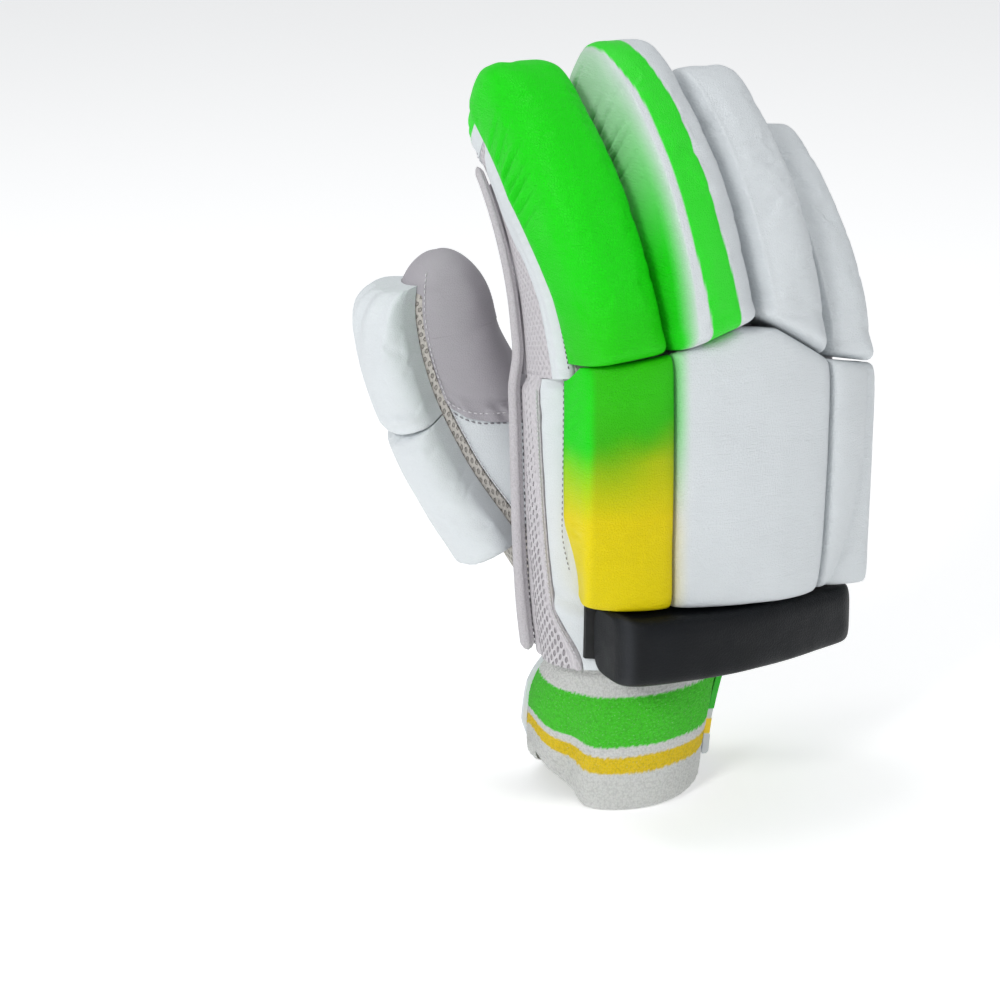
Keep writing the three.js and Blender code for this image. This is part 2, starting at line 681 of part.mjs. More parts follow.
// A pad on the back between two places across the hand. Its back follows the hand, its front is
// crowned, and its edges are rounded down to a share of its height.
function backPad(from, to, overhang) {
  const across = [0, 0.06, 0.2, 0.4, 0.5, 0.6, 0.8, 0.94, 1];
  const up = [0, 0.05, 0.15, 0.4, 0.65, 0.85, 0.95, 1];
  const edgeShare = (v) => Math.min(1, 0.66 + 0.34 * Math.sqrt(Math.min(v, 1 - v) / 0.06));
  const left = from + gap / 2;
  const right = to - gap / 2 + overhang;
  const outer = [];
  const inner = [];
  for (const v of up) {
    const outerRow = [];
    const innerRow = [];
    for (const u of across) {
      const x = lerp(left, right, u);
      const low = lineHeight('padLow', x);
      const top = lineHeight('knuckle', x);
      const back = handFace('back', x, lerp(low, top, v)) - seatGap;
      const crown = 1 - 0.08 * (2 * u - 1) ** 2;
      const stand = padStand * crown * Math.min(edgeShare(u), edgeShare(v));
      const round = padRound * (1 - Math.min(edgeShare(u), edgeShare(v)));
      const outerTop = Math.min(knuckleHeight(x, back - stand), top) - gap;
      const innerTop = Math.min(outerTop, rimHeight(x, back) - seatGap);
      outerRow.push(vec(lerp(left + round, right - round, u), back - stand, lerp(low + round, outerTop, v)));
      innerRow.push(vec(x, back, lerp(low, innerTop, v)));
    }
    outer.push(outerRow);
    inner.push(innerRow);
  }
  return body(outer, inner);
}

addPiece('index_back_pad', backPad(slots[0], slots[1], 0), green, 0.4);
addPiece('center_back_pad', backPad(slots[1], slots[3], 0), white, 0.4);
addPiece('little_back_pad', backPad(slots[3], slots[4], padOverhang), white, 0.4);

// Backing strip and wrist roll below the pads
const rollLeft = slots[0] + wristRollInset;
const rollTop = (x) => lineHeight('padLow', x) - 2 * gap;

function wristBacking() {
  const xs = spread(12, rollLeft - backingTab, rollLeft + wristRollLength * backingShare);
  const rows = spread(4, 0.15, 0.9);
  const net = (depth) => rows.map((v) => xs.map((x) => {
    const z = rollTop(x) - wristRollHeight * (1 - v);
    return vec(x, handFace('back', x, z) - seatGap - depth, z);
  }));
  return body(net(backingWall), net(0));
}

function wristRoll() {
  const turns = spread(17, 0, 2 * Math.PI).slice(0, 16);
  const shares = [0, 0.012, 0.04, 0.2, 0.35, 0.5, 0.65, 0.8, 0.95, 0.988, 1];
  return bar(shares.map((share) => {
    const x = rollLeft + wristRollLength * share;
    const end = Math.min(1, 0.84 + 4 * Math.min(share, 1 - share));
    const height = wristRollHeight * lerp(1, 0.85, share);
    const depth = wristRollDepth * lerp(1, 0.85, share);
    const level = rollTop(x) - height / 2;
    const faces = [level - height / 2, level, level + height / 2].map((z) => handFace('back', x, z));
    const back = Math.min(...faces) - backingWall - 2 * seatGap;
    return turns.map((a) => {
      const [c, q] = squircle(a, 4);
      return vec(x, back - depth / 2 + (c * depth * end) / 2, level + (q * height * end) / 2);
    });
  }));
}

addPiece('wrist_roll_backing', wristBacking(), black, 0.7);
addPiece('wrist_roll', wristRoll(), charcoal, 0.5);

// Cuff: rounded rings, pressed in along a fold that runs up the thumb side
function cuffPoint(angle, up, grow) {
  const row = readRows(cuffRows, 'up', up);
  const degrees = THREE.MathUtils.radToDeg(angle);
  const fromFold = (degrees - cuffFold.angle - cuffFold.turn * up) / cuffFold.span;
  const fold = row.fold * cuffFold.depth * Math.exp(-(fromFold ** 2));
  const halfWidth = (row.width * wristWidth) / 2 + grow - fold;
  const halfDepth = (row.depth * wristDepth) / 2 + grow - fold;
  const x = row.shift * handOffset + Math.cos(angle) * halfWidth;
  const lift = hemLift * Math.exp(-(((degrees - cuffLift.angle) / cuffLift.span) ** 2)) * (1 - up) ** 2;
  return vec(x, row.set * wristSet + Math.sin(angle) * halfDepth, up * cuffHeight + lift);
}

function knitCuff() {
  const angles = spread(35, 0, 2 * Math.PI).slice(0, 34);
  const ups = [0, 0.06, 0.22, 0.4, 0.6, 0.8, 1];
  const net = (grow) => ups.map((up) => angles.map((a) => cuffPoint(a, up, grow)));
  return body(net(0), net(-knitWall), true);
}

addPiece('knit_cuff', knitCuff(), white, 0.95);

// Closing strap round the palm side of the cuff, with a pointed free end at the thumb side
function wristStrap() {
  const angles = spread(17, radians(strapEnds.from), radians(strapEnds.to));
  const rows = spread(5, -0.5, 0.5);
  const net = (grow) => rows.map((v) => angles.map((a) => {
    const left = (radians(strapEnds.to) - a) / radians(strapEnds.to - strapEnds.from);
    const height = strapHeight * Math.min(1, 0.42 + left * 6);
    const z = strapLow + strapHeight / 2 + v * height;
    return cuffPoint(a, z / cuffHeight, grow);
  }));
  return body(net(seatGap + strapWall), net(seatGap));
}

addPiece('wrist_strap', wristStrap(), white, 0.45);

// Pull loop: a narrow band from the little-finger side of the hand out and down to the strap
function strapLoop() {
  const top = handPoint(radians(-8), 0.28, seatGap);
  const low = cuffPoint(radians(-8), 0.6, seatGap + strapWall + seatGap);
  const rows = spread(9, 0, 1);
  const net = (depth) => rows.map((v) => [-0.5, 0.5].map((w) => {
    const point = top.clone().lerp(low, v);
    point.x += depth + loopReach * Math.sin(Math.PI * v) ** 0.8;
    point.y += w * loopBand;
    return point;
  }));
  return body(net(leatherWall), net(0));
}

addPiece('strap_loop', strapLoop(), white, 0.5);

export default glove;
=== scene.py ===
import math
import re
import bmesh
import bpy
import numpy as np
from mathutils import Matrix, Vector


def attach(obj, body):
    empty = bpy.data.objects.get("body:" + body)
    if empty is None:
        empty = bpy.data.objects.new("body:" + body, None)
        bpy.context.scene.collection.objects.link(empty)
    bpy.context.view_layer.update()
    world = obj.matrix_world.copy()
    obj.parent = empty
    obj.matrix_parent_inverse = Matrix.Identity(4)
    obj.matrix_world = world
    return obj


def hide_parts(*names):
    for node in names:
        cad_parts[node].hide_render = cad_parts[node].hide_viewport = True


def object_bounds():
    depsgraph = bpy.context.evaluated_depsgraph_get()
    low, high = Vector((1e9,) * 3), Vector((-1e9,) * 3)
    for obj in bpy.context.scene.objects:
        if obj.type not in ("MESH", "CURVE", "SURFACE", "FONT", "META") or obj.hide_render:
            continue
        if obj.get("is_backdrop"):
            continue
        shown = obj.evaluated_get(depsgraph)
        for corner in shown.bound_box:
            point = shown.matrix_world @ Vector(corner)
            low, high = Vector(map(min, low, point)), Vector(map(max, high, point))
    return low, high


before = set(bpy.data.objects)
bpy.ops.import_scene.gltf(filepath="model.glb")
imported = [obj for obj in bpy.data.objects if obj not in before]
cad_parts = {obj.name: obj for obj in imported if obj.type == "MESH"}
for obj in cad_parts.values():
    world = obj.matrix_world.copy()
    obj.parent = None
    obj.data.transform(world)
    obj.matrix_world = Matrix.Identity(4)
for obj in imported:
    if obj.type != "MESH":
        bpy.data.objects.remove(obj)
cadBox = [list(corner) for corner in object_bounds()]
mm = 0.001
print("frame loaded")

# measures, in millimetres
gap, seatGap = 0.3, 0.7
hand = dict(low=58, length=121, offset=21.5, palm=30, back=23.5, sink=4, ledge=6.5, margin=1,
            palmLittle=14, palmIndex=166, backIndex=207, backLittle=333)
handRows = dict(up=[0, 0.18, 0.42, 0.7, 1], centre=[0.55, 0.72, 0.88, 0.98, 1],
                width=[0.74, 0.84, 0.93, 0.985, 1], palm=[0.98, 0.88, 0.72, 0.6, 0.56],
                back=[1.03, 1, 0.98, 1, 1], power=[2.3, 2.4, 2.5, 2.6, 2.8])
crossLines = dict(rim=[0.972, 0.985, 0.99, 0.905, 0.84], knuckle=[1.017, 1.025, 1.099, 0.934, 0.884],
                  padLow=[0.242, 0.232, 0.207, 0.176, 0.15])
fingerSizes = dict(width=30, length=139, stand=27, overlap=1.2, tipDepth=26, tipRoll=0.6,
                   stallPower=2.6, stallEnd=0.8, capStart=0.84, rollEnd=0.97)
fingerTable = dict(name=["index", "middle", "ring", "little"], width=[1, 1.05, 1.05, 0.82],
                   tipWidth=[0.97, 0.97, 0.93, 0.78], tipShift=[-0.28, -0.14, -0.12, -0.13],
                   length=[0.97, 1, 0.92, 0.81], stand=[0.86, 1.04, 0.95, 0.86],
                   lean=[10, 8.5, 8.4, 8.3], curl=[56, 62, 60, 62], ridge=[0.05, 0.3, 0.16, 0.14])
fingerRows = [dict(zip(fingerTable, row)) for row in zip(*fingerTable.values())]
thumb = dict(reach=50, forward=42, height=142, width=46, depth=36, roll=14, power=2.2, foot=62,
             stallEnd=0.84, capStart=0.87, palmMesh=-140, sideMesh=-34, leather=60, end=220,
             seamOut=0.72, seamIn=0.48, rollLow=0.33, rollJoint=0.687, rollHigh=0.945)
thumbRows = dict(reach=[-0.08, 0.14, 0.4, 0.7, 0.93, 1.02], forward=[0.02, 0.42, 0.72, 0.9, 1, 1.07],
                 up=[0, 0.17, 0.36, 0.55, 0.75, 1], width=[0.92, 1, 1, 0.92, 0.8, 0.7],
                 depth=[0.95, 1, 1, 0.95, 0.9, 0.84])
cuff = dict(height=68, width=66, depth=64, set=6, lift=17, liftAngle=170, liftSpan=27, foldAngle=203,
            foldSpan=13, foldTurn=14, foldDepth=6, wall=2.6)
cuffRows = dict(up=[0, 0.05, 0.3, 0.6, 0.85, 1], width=[0.98, 1, 1.03, 1.08, 1.11, 1.11],
                depth=[0.98, 1, 1, 0.92, 0.72, 0.68], shift=[0, 0, 0.04, 0.15, 0.42, 0.55],
                set=[1, 1, 0.9, 0.4, -0.1, -0.2], fold=[1, 1, 0.9, 0.35, 0, 0])
walls = dict(leather=1.5, mesh=2, strap=2)


# reading the tables
def readTable(table, key, at):
    # each column at the given places: a cubic between two rows, with the slope of the rows around
    k = np.array(table[key], float)
    at = np.clip(at, k[0], k[-1])
    i = np.clip(np.searchsorted(k, at, side="left") - 1, 0, len(k) - 2)
    before, after = np.maximum(i - 1, 0), np.minimum(i + 2, len(k) - 1)
    span = k[i + 1] - k[i]
    t = (at - k[i]) / span
    out = {}
    for name, column in table.items():
        c = np.array(column, float)
        slopeLow = (c[i + 1] - c[before]) / (k[i + 1] - k[before]) * span
        slopeHigh = (c[after] - c[i]) / (k[after] - k[i]) * span
        a = 2 * c[i] - 2 * c[i + 1] + slopeLow + slopeHigh
        b = 3 * c[i + 1] - 3 * c[i] - 2 * slopeLow - slopeHigh
        out[name] = a * t ** 3 + b * t ** 2 + slopeLow * t + c[i]
    return out


def squircle(angle, power):
    # cosine and sine with their sizes raised to 2 / power: a circle at 2, a rounded square above
    c, s = np.cos(angle), np.sin(angle)
    return np.sign(c) * np.abs(c) ** (2 / power), np.sign(s) * np.abs(s) ** (2 / power)


def smooth(low, high, x):
    t = np.clip((x - low) / (high - low), 0, 1)
    return t * t * (3 - 2 * t)


def lerp(a, b, t):
    return a + (b - a) * t


def stack(x, y, z):
    x, y, z = np.broadcast_arrays(x, y, z)
    return np.stack([x, y, z], axis=-1).astype(float)


def ripple(u, v, size, seed):
    # an even, unrepeating wave field: nine sine waves of about one size in fixed, spread directions
    total = 0
    for k in range(9):
        turn = 2.399 * k + seed
        pitch = size * (0.7 + 0.6 * ((k * 0.618 + seed * 0.37) % 1))
        total = total + np.sin((u * math.cos(turn) + v * math.sin(turn)) * 2 * math.pi / pitch
                               + 5.1 * k * seed)
    return total / 4.5


# the hand's own surface
slotEdges = np.cumsum([hand["ledge"]] + [row["width"] * fingerSizes["width"] + gap for row in fingerRows])
handWidth = slotEdges[-1] - hand["margin"]
slots = slotEdges + hand["offset"] - handWidth / 2
slotMiddles = (slots[:-1] + slots[1:]) / 2
crestPlane = -hand["sink"] - hand["back"] - fingerSizes["stand"]


def lineHeight(name, x):
    return hand["low"] + hand["length"] * np.interp(x, slots, crossLines[name])


def leaningHeight(name, x, y):
    # a plane through the crest line on the back that drops towards the palm by the fingers' lean
    lean = np.tan(np.radians(np.interp(x, slotMiddles, [row["lean"] for row in fingerRows])))
    return lineHeight(name, x) - (y - crestPlane) * lean


def handSection(up, grow):
    row = readTable(handRows, "up", up)
    return dict(x=row["centre"] * hand["offset"], half=row["width"] * handWidth / 2 + grow,
                palm=row["palm"] * hand["palm"] + grow, back=row["back"] * hand["back"] + grow,
                power=row["power"])


def handPoint(angle, up, grow=0.0):
    # a rounded-square ring whose half sizes follow the table; its height runs up to the finger rim
    s = handSection(up, grow)
    c, q = squircle(angle, s["power"])
    x = s["x"] + s["half"] * c
    y = -hand["sink"] + q * np.where(q > 0, s["palm"], s["back"])
    return stack(x, y, lerp(hand["low"], leaningHeight("rim", x, y), up))


def handFace(side, x, z):
    # depth of the palm or the back at a place across and up, found by repeated reading
    y = np.full(np.broadcast(x, z).shape, -float(hand["sink"]))
    for step in range(6):
        up = np.clip((z - hand["low"]) / (leaningHeight("rim", x, y) - hand["low"]), 0, 1)
        s = handSection(up, 0)
        across = np.clip(np.abs(x - s["x"]) / s["half"], 0, 0.93)
        depth = (1 - across ** s["power"]) ** (1 / s["power"])
        y = -hand["sink"] + depth * (s["palm"] if side == "palm" else -s["back"])
    return y


def insideHand(p):
    # under 1 inside the hand's ring at that height, over 1 outside
    up = (p[..., 2] - hand["low"]) / (leaningHeight("rim", p[..., 0], p[..., 1]) - hand["low"])
    s = handSection(np.clip(up, 0, 1), 0)
    dx = np.abs(p[..., 0] - s["x"]) / s["half"]
    dy = p[..., 1] + hand["sink"]
    dy = np.abs(dy) / np.where(dy > 0, s["palm"], s["back"])
    value = dx ** s["power"] + dy ** s["power"]
    return np.where((up < 0) | (up > 1), 9.0, value)


# fingers
def makeFinger(i):
    row = fingerRows[i]
    f = dict(row, middle=slotMiddles[i], width=row["width"] * fingerSizes["width"])
    f["foot"] = (lineHeight("knuckle", slots[i]) + lineHeight("knuckle", slots[i + 1])) / 2
    backFace = float(handFace("back", f["middle"], f["foot"]))
    palmFace = float(handFace("palm", f["middle"], f["foot"]))
    stand = row["stand"] * fingerSizes["stand"]
    f["lean"], f["curl"] = math.radians(row["lean"]), math.radians(row["curl"])
    f["length"] = row["length"] * fingerSizes["length"]
    f["crest"] = backFace - stand
    f["roll"] = stand / math.cos(f["lean"]) + gap
    f["depth"] = (palmFace - backFace) / math.cos(f["lean"]) - 2 * gap
    f["ledge"] = hand["ledge"] if i == 0 else 0
    f["tipShift"] = row["tipShift"] * fingerSizes["width"]
    f["tipWidth"] = row["tipWidth"] * fingerSizes["width"]
    return f


fingers = [makeFinger(i) for i in range(4)]


def tipShare(t, start):
    return np.sqrt(np.maximum(0, 1 - (np.maximum(0, t - start) / (1 - start)) ** 2))


def fingerFrame(f, t):
    # an arc from the knuckle seen from the side; the stall lies under the roll's thickness
    radius = f["length"] / f["curl"]
    angle = f["lean"] + f["curl"] * t
    outward = stack(0, -np.cos(angle), np.sin(angle))
    crest = stack(f["middle"] + f["tipShift"] * t,
                  f["crest"] + radius * (math.cos(f["lean"]) - np.cos(angle)),
                  f["foot"] + radius * (np.sin(angle) - math.sin(f["lean"])))
    roll = f["roll"] * lerp(1, fingerSizes["tipRoll"], t)
    depth = lerp(f["depth"], fingerSizes["tipDepth"], np.minimum(1, t * 1.15))
    ledge = f["ledge"] * (1 - 0.6 * t)
    width = lerp(f["width"], f["tipWidth"], t) - 2 * (fingerSizes["overlap"] + seatGap) + ledge
    centre = crest - outward * (roll + depth / 2)[..., None]
    centre[..., 0] -= ledge / 2
    return dict(outward=outward, centre=centre, roll=roll, depth=depth, width=width, ledge=ledge)


def seatFoot(f, p, t, line):
    # the foot of a finger is moved onto the rim or knuckle line; the move fades out up the finger
    fade = np.maximum(0, 1 - t / 0.3) ** 2
    plane = f["foot"] - (p[..., 1] - f["crest"]) * math.tan(f["lean"])
    p[..., 2] += (leaningHeight(line, p[..., 0], p[..., 1]) + gap - plane) * fade
    return p


def fingerPoint(f, angle, t, grow=0.0):
    # a rounded-square ring round the finger's middle line, drawn in to a dome at the tip
    angle, t, grow = np.broadcast_arrays(angle, np.asarray(t, float), grow)
    fr = fingerFrame(f, t)
    share = tipShare(t, fingerSizes["capStart"])
    c, q = squircle(angle, fingerSizes["stallPower"])
    deep = q * np.maximum(0, (fr["depth"] / 2 + grow) * share)
    p = fr["centre"] - fr["outward"] * deep[..., None]
    p[..., 0] += c * np.maximum(0, (fr["width"] / 2 + grow) * share)
    return seatFoot(f, p, t, "rim")


# thumb
thumbLine = stack(-thumb["reach"] * np.array(thumbRows["reach"]),
                  thumb["forward"] * np.array(thumbRows["forward"]),
                  thumb["height"] * np.array(thumbRows["up"]) + thumb["foot"])


def linePoint(points, t):
    # a curve through the points whose bends keep to the spacing's square root
    n = len(points)
    ends = np.vstack([2 * points[0] - points[1], points, 2 * points[-1] - points[-2]])
    place = np.clip(np.asarray(t, float), 0, 1) * (n - 1)
    i = np.clip(np.floor(place).astype(int), 0, n - 2)
    w = (place - i)[..., None]
    p = [ends[i + k] for k in range(4)]
    d = [np.maximum(np.linalg.norm(p[k + 1] - p[k], axis=-1, keepdims=True), 1e-6) ** 0.5 for k in range(3)]
    s1 = ((p[1] - p[0]) / d[0] - (p[2] - p[0]) / (d[0] + d[1]) + (p[2] - p[1]) / d[1]) * d[1]
    s2 = ((p[2] - p[1]) / d[1] - (p[3] - p[1]) / (d[1] + d[2]) + (p[3] - p[2]) / d[2]) * d[1]
    return (p[1] + s1 * w + (-3 * p[1] + 3 * p[2] - 2 * s1 - s2) * w ** 2
            + (2 * p[1] - 2 * p[2] + s1 + s2) * w ** 3)


def unit(v):
    return v / np.maximum(np.linalg.norm(v, axis=-1, keepdims=True), 1e-9)


def thumbPoint(angle, t, grow=0.0):
    # a rounded ring round the thumb's middle line; angle 0 faces away from the hand, 90 the back
    angle, t, grow = np.broadcast_arrays(angle, np.asarray(t, float), grow)
    step = 1e-4
    along = unit(linePoint(thumbLine, t + step) - linePoint(thumbLine, t - step))
    away = np.array([-0.94, 0.34, 0])
    side = unit(away - along * (along @ away)[..., None])
    back = np.cross(along, side)
    row = readTable(thumbRows, "up", t)
    share = tipShare(t, thumb["capStart"])
    c, q = squircle(angle, thumb["power"])
    out = c * np.maximum(0, (row["width"] * thumb["width"] / 2 + grow) * share)
    deep = q * np.maximum(0, (row["depth"] * thumb["depth"] / 2 + grow) * share)
    return linePoint(thumbLine, t) + side * out[..., None] + back * deep[..., None]


def cuffPoint(angle, up, grow=0.0):
    # a ring that is pressed in along a fold at the thumb side, with its hem lifted there
    angle, up, grow = np.broadcast_arrays(angle, np.asarray(up, float), grow)
    row = readTable(cuffRows, "up", up)
    degrees = np.degrees(angle)
    off = (degrees - cuff["foldAngle"] - cuff["foldTurn"] * up) / cuff["foldSpan"]
    fold = row["fold"] * cuff["foldDepth"] * np.exp(-off ** 2)
    x = row["shift"] * hand["offset"] + np.cos(angle) * (row["width"] * cuff["width"] / 2 + grow - fold)
    y = row["set"] * cuff["set"] + np.sin(angle) * (row["depth"] * cuff["depth"] / 2 + grow - fold)
    lift = cuff["lift"] * np.exp(-((degrees - cuff["liftAngle"]) / cuff["liftSpan"]) ** 2) * (1 - up) ** 2
    return stack(x, y, up * cuff["height"] + lift)


# meshes
def arcMap(net):
    # millimetres along the surface, across from the middle column and up from the first row
    across = np.cumsum(np.linalg.norm(np.diff(net, axis=1, prepend=net[:, :1]), axis=-1), axis=1)
    across -= across[:, across.shape[1] // 2][:, None]
    rise = np.cumsum(np.linalg.norm(np.diff(net, axis=0, prepend=net[:1]), axis=-1), axis=0)
    return np.stack([across, np.broadcast_to(rise.mean(axis=1)[:, None], across.shape)], axis=-1)


def linear(colour):
    c = np.asarray(colour, float) / 255
    return np.where(c <= 0.04045, c / 12.92, ((c + 0.055) / 1.055) ** 2.4)


def gridFaces(ids):
    # four-sided faces between neighbours in a net of point numbers, or in many nets at once
    corners = [ids[..., :-1, :-1], ids[..., :-1, 1:], ids[..., 1:, 1:], ids[..., 1:, :-1]]
    return np.stack(corners, -1).reshape(-1, 4)


def closedMesh(name, outer, inner, colour, mapped=None, sharp=50, openness=1.0):
    # two nets joined all round into one closed wall or pad; doubled seams and poles are welded
    rows, cols = outer.shape[:2]
    o = np.arange(rows * cols).reshape(rows, cols)
    i = o + rows * cols
    parts = [gridFaces(o), gridFaces(i)[:, ::-1], gridFaces(np.stack([i[0], o[0]])),
             gridFaces(np.stack([o[-1], i[-1]]))]
    if np.abs(outer[:, 0] - outer[:, -1]).max() > 1e-4:
        parts.append(gridFaces(np.stack([i[:, 0], o[:, 0]], 1)))
        parts.append(gridFaces(np.stack([o[:, -1], i[:, -1]], 1)))
    uv = arcMap(outer) if mapped is None else mapped
    # the paint's alpha says how far the holes of a mesh are open
    alpha = np.broadcast_to(openness, (rows, cols))[..., None]
    paint = np.concatenate([np.broadcast_to(colour, outer.shape), alpha], axis=-1)
    places, uv, paint = (np.concatenate([a.reshape(-1, a.shape[-1]), b.reshape(-1, b.shape[-1])])
                         for a, b in ((outer, inner), (uv, uv), (paint, paint)))
    return meshFrom(name, places, np.concatenate(parts), uv, paint, sharp)


def meshFrom(name, places, faces, uv, paint, sharp):
    # a Blender mesh from places in millimetres; a negative volume means the faces point inwards
    places = places * mm
    a, b, c, d = (places[faces[:, k]] for k in range(4))
    volume = (np.einsum("ij,ij->i", a, np.cross(b, c)) + np.einsum("ij,ij->i", a, np.cross(c, d))).sum()
    if volume < 0:
        faces = faces[:, ::-1]
    mesh = bpy.data.meshes.new(name)
    mesh.from_pydata(places.tolist(), [], faces.tolist())
    layer = mesh.uv_layers.new(name="UVMap")
    loops = np.empty(len(mesh.loops), dtype=np.int32)
    mesh.loops.foreach_get("vertex_index", loops)
    layer.data.foreach_set("uv", uv[loops].astype(np.float32).ravel())
    attribute = mesh.color_attributes.new(name="paint", type="FLOAT_COLOR", domain="POINT")
    attribute.data.foreach_set("color", paint.astype(np.float32).ravel())
    work = bmesh.new()
    work.from_mesh(mesh)
    bmesh.ops.remove_doubles(work, verts=work.verts, dist=2e-6)
    work.to_mesh(mesh)
    work.free()
    mesh.shade_smooth()
    mesh.set_sharp_from_angle(angle=math.radians(sharp))
    return mesh


def nodeName(name):
    # the part's own name for a piece: a capital becomes an underscore and a small letter
    return re.sub("[A-Z]", lambda found: "_" + found.group().lower(), name).replace("centre", "center")


def addPiece(name, mesh, material, extra=False):
    # an extra piece is sewn on the others and stands for no node of the part
    piece = bpy.data.objects.new(name, mesh)
    bpy.context.scene.collection.objects.link(piece)
    mesh.materials.append(material)
    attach(piece, "root")
    if not extra:
        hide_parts(nodeName(name))
    return piece


def addWall(name, outer, inner, colour, material, slot=None, fill=None, extra=False, **options):
    return addPiece(name, closedMesh(name, outer, inner, colour, **options), material, extra)


def spread(low, high, count):
    return np.linspace(low, high, count)


# node helpers
class Graph:
    def __init__(self, name, **sockets):
        self.material = bpy.data.materials.new(name)
        self.material.use_nodes = True
        self.tree = self.material.node_tree
        self.shader = self.tree.nodes["Principled BSDF"]
        for key, value in sockets.items():
            self.shader.inputs[key.replace("_", " ")].default_value = value
        self.coords = self.tree.nodes.new("ShaderNodeTexCoord")

    def join(self, source, target):
        self.tree.links.new(source, target)

    def add(self, kind, inputs=(), **settings):
        node = self.tree.nodes.new(kind)
        for key, value in settings.items():
            setattr(node, key, value)
        for key, value in dict(inputs).items():
            socket = node.inputs[key]
            if isinstance(value, bpy.types.NodeSocket):
                self.join(value, socket)
            else:
                socket.default_value = value
        return node

    def sum(self, operation, a, b):
        return self.add("ShaderNodeMath", {0: a, 1: b}, operation=operation).outputs[0]

    def vector(self, operation, a, b=(0, 0, 0)):
        node = self.add("ShaderNodeVectorMath", {0: a, 1: b}, operation=operation)
        return node.outputs["Value" if operation == "LENGTH" else "Vector"]

    def stretch(self, source, scale, turn=0.0):
        return self.add("ShaderNodeMapping",
                        {"Vector": source, "Scale": scale, "Rotation": (0, 0, turn)}).outputs[0]

    def noise(self, source, scale, detail=3.0, rough=0.5):
        return self.add("ShaderNodeTexNoise", {"Vector": source, "Scale": scale, "Detail": detail,
                                               "Roughness": rough}).outputs["Fac"]

    def cells(self, source, scale, feature="F1", random=1.0):
        return self.add("ShaderNodeTexVoronoi", {"Vector": source, "Scale": scale, "Randomness": random},
                        feature=feature).outputs["Distance"]

    def ramp(self, source, stops):
        node = self.add("ShaderNodeValToRGB", {"Fac": source})
        points = node.color_ramp.elements
        points[0].position, points[1].position = stops[0][0], stops[-1][0]
        for place, value in stops[1:-1]:
            points.new(place)
        for point, (place, value) in zip(points, stops):
            level = (value, value, value) if np.isscalar(value) else value
            point.color = (*level, 1)
        return node.outputs["Color"]

    def mix(self, kind, amount, a, b):
        node = self.add("ShaderNodeMix", {}, data_type="RGBA", blend_type=kind)
        first, second = [socket for socket in node.inputs if socket.type == "RGBA"]
        for socket, value in [(node.inputs[0], amount), (first, a), (second, b)]:
            if isinstance(value, bpy.types.NodeSocket):
                self.join(value, socket)
            else:
                socket.default_value = value if np.isscalar(value) else (*value, 1)
        return [socket for socket in node.outputs if socket.type == "RGBA"][0]

    def paint(self, output="Color"):
        return self.add("ShaderNodeVertexColor", layer_name="paint").outputs[output]

    def bump(self, height, depth, under=None):
        node = self.add("ShaderNodeBump", {"Height": height, "Distance": depth * mm})
        if under is not None:
            self.join(under, node.inputs["Normal"])
        return node.outputs["Normal"]

    def finish(self, colour, normal, roughness=None):
        self.join(colour, self.shader.inputs["Base Color"])
        self.join(normal, self.shader.inputs["Normal"])
        if roughness is not None:
            self.join(roughness, self.shader.inputs["Roughness"])
        return self.material


def leatherMaterial(name, grain=950, grainDepth=0.10, foldDepth=0.25, rough=0.45, mottle=0.05, lines=0.0,
                    **sockets):
    # painted colour, darker in the pores; cells for the grain, long noise for creases
    g = Graph(name, Roughness=rough, **sockets)
    place = g.coords.outputs["Object"]
    pores = g.cells(place, grain, "DISTANCE_TO_EDGE")
    grainHeight = g.ramp(pores, [(0.0, 0.0), (0.12, 0.75), (0.5, 1.0)])
    fine = g.noise(place, grain * 2.2, 2)
    soft = g.noise(g.stretch(place, (1, 1, 2.6)), 70, 4, 0.55)
    blotch = g.noise(place, 26, 3)
    tint = g.ramp(blotch, [(0.3, 1 - mottle), (0.7, 1.0)])
    pore = g.ramp(pores, [(0.0, 0.965), (0.1, 1.0)])
    colour = g.mix("MULTIPLY", 1.0, g.mix("MULTIPLY", 1.0, g.paint(), tint), pore)
    normal = g.bump(grainHeight, grainDepth)
    normal = g.bump(fine, grainDepth * 0.5, under=normal)
    if lines:
        rows = g.noise(g.stretch(place, (0.16, 0.16, 1)), 1100, 2)
        normal = g.bump(rows, lines, under=normal)
    normal = g.bump(soft, foldDepth, under=normal)
    shine = g.ramp(g.noise(place, 90, 3), [(0.3, max(0.0, rough - 0.06)), (0.7, min(1.0, rough + 0.08))])
    return g.finish(colour, normal, shine)


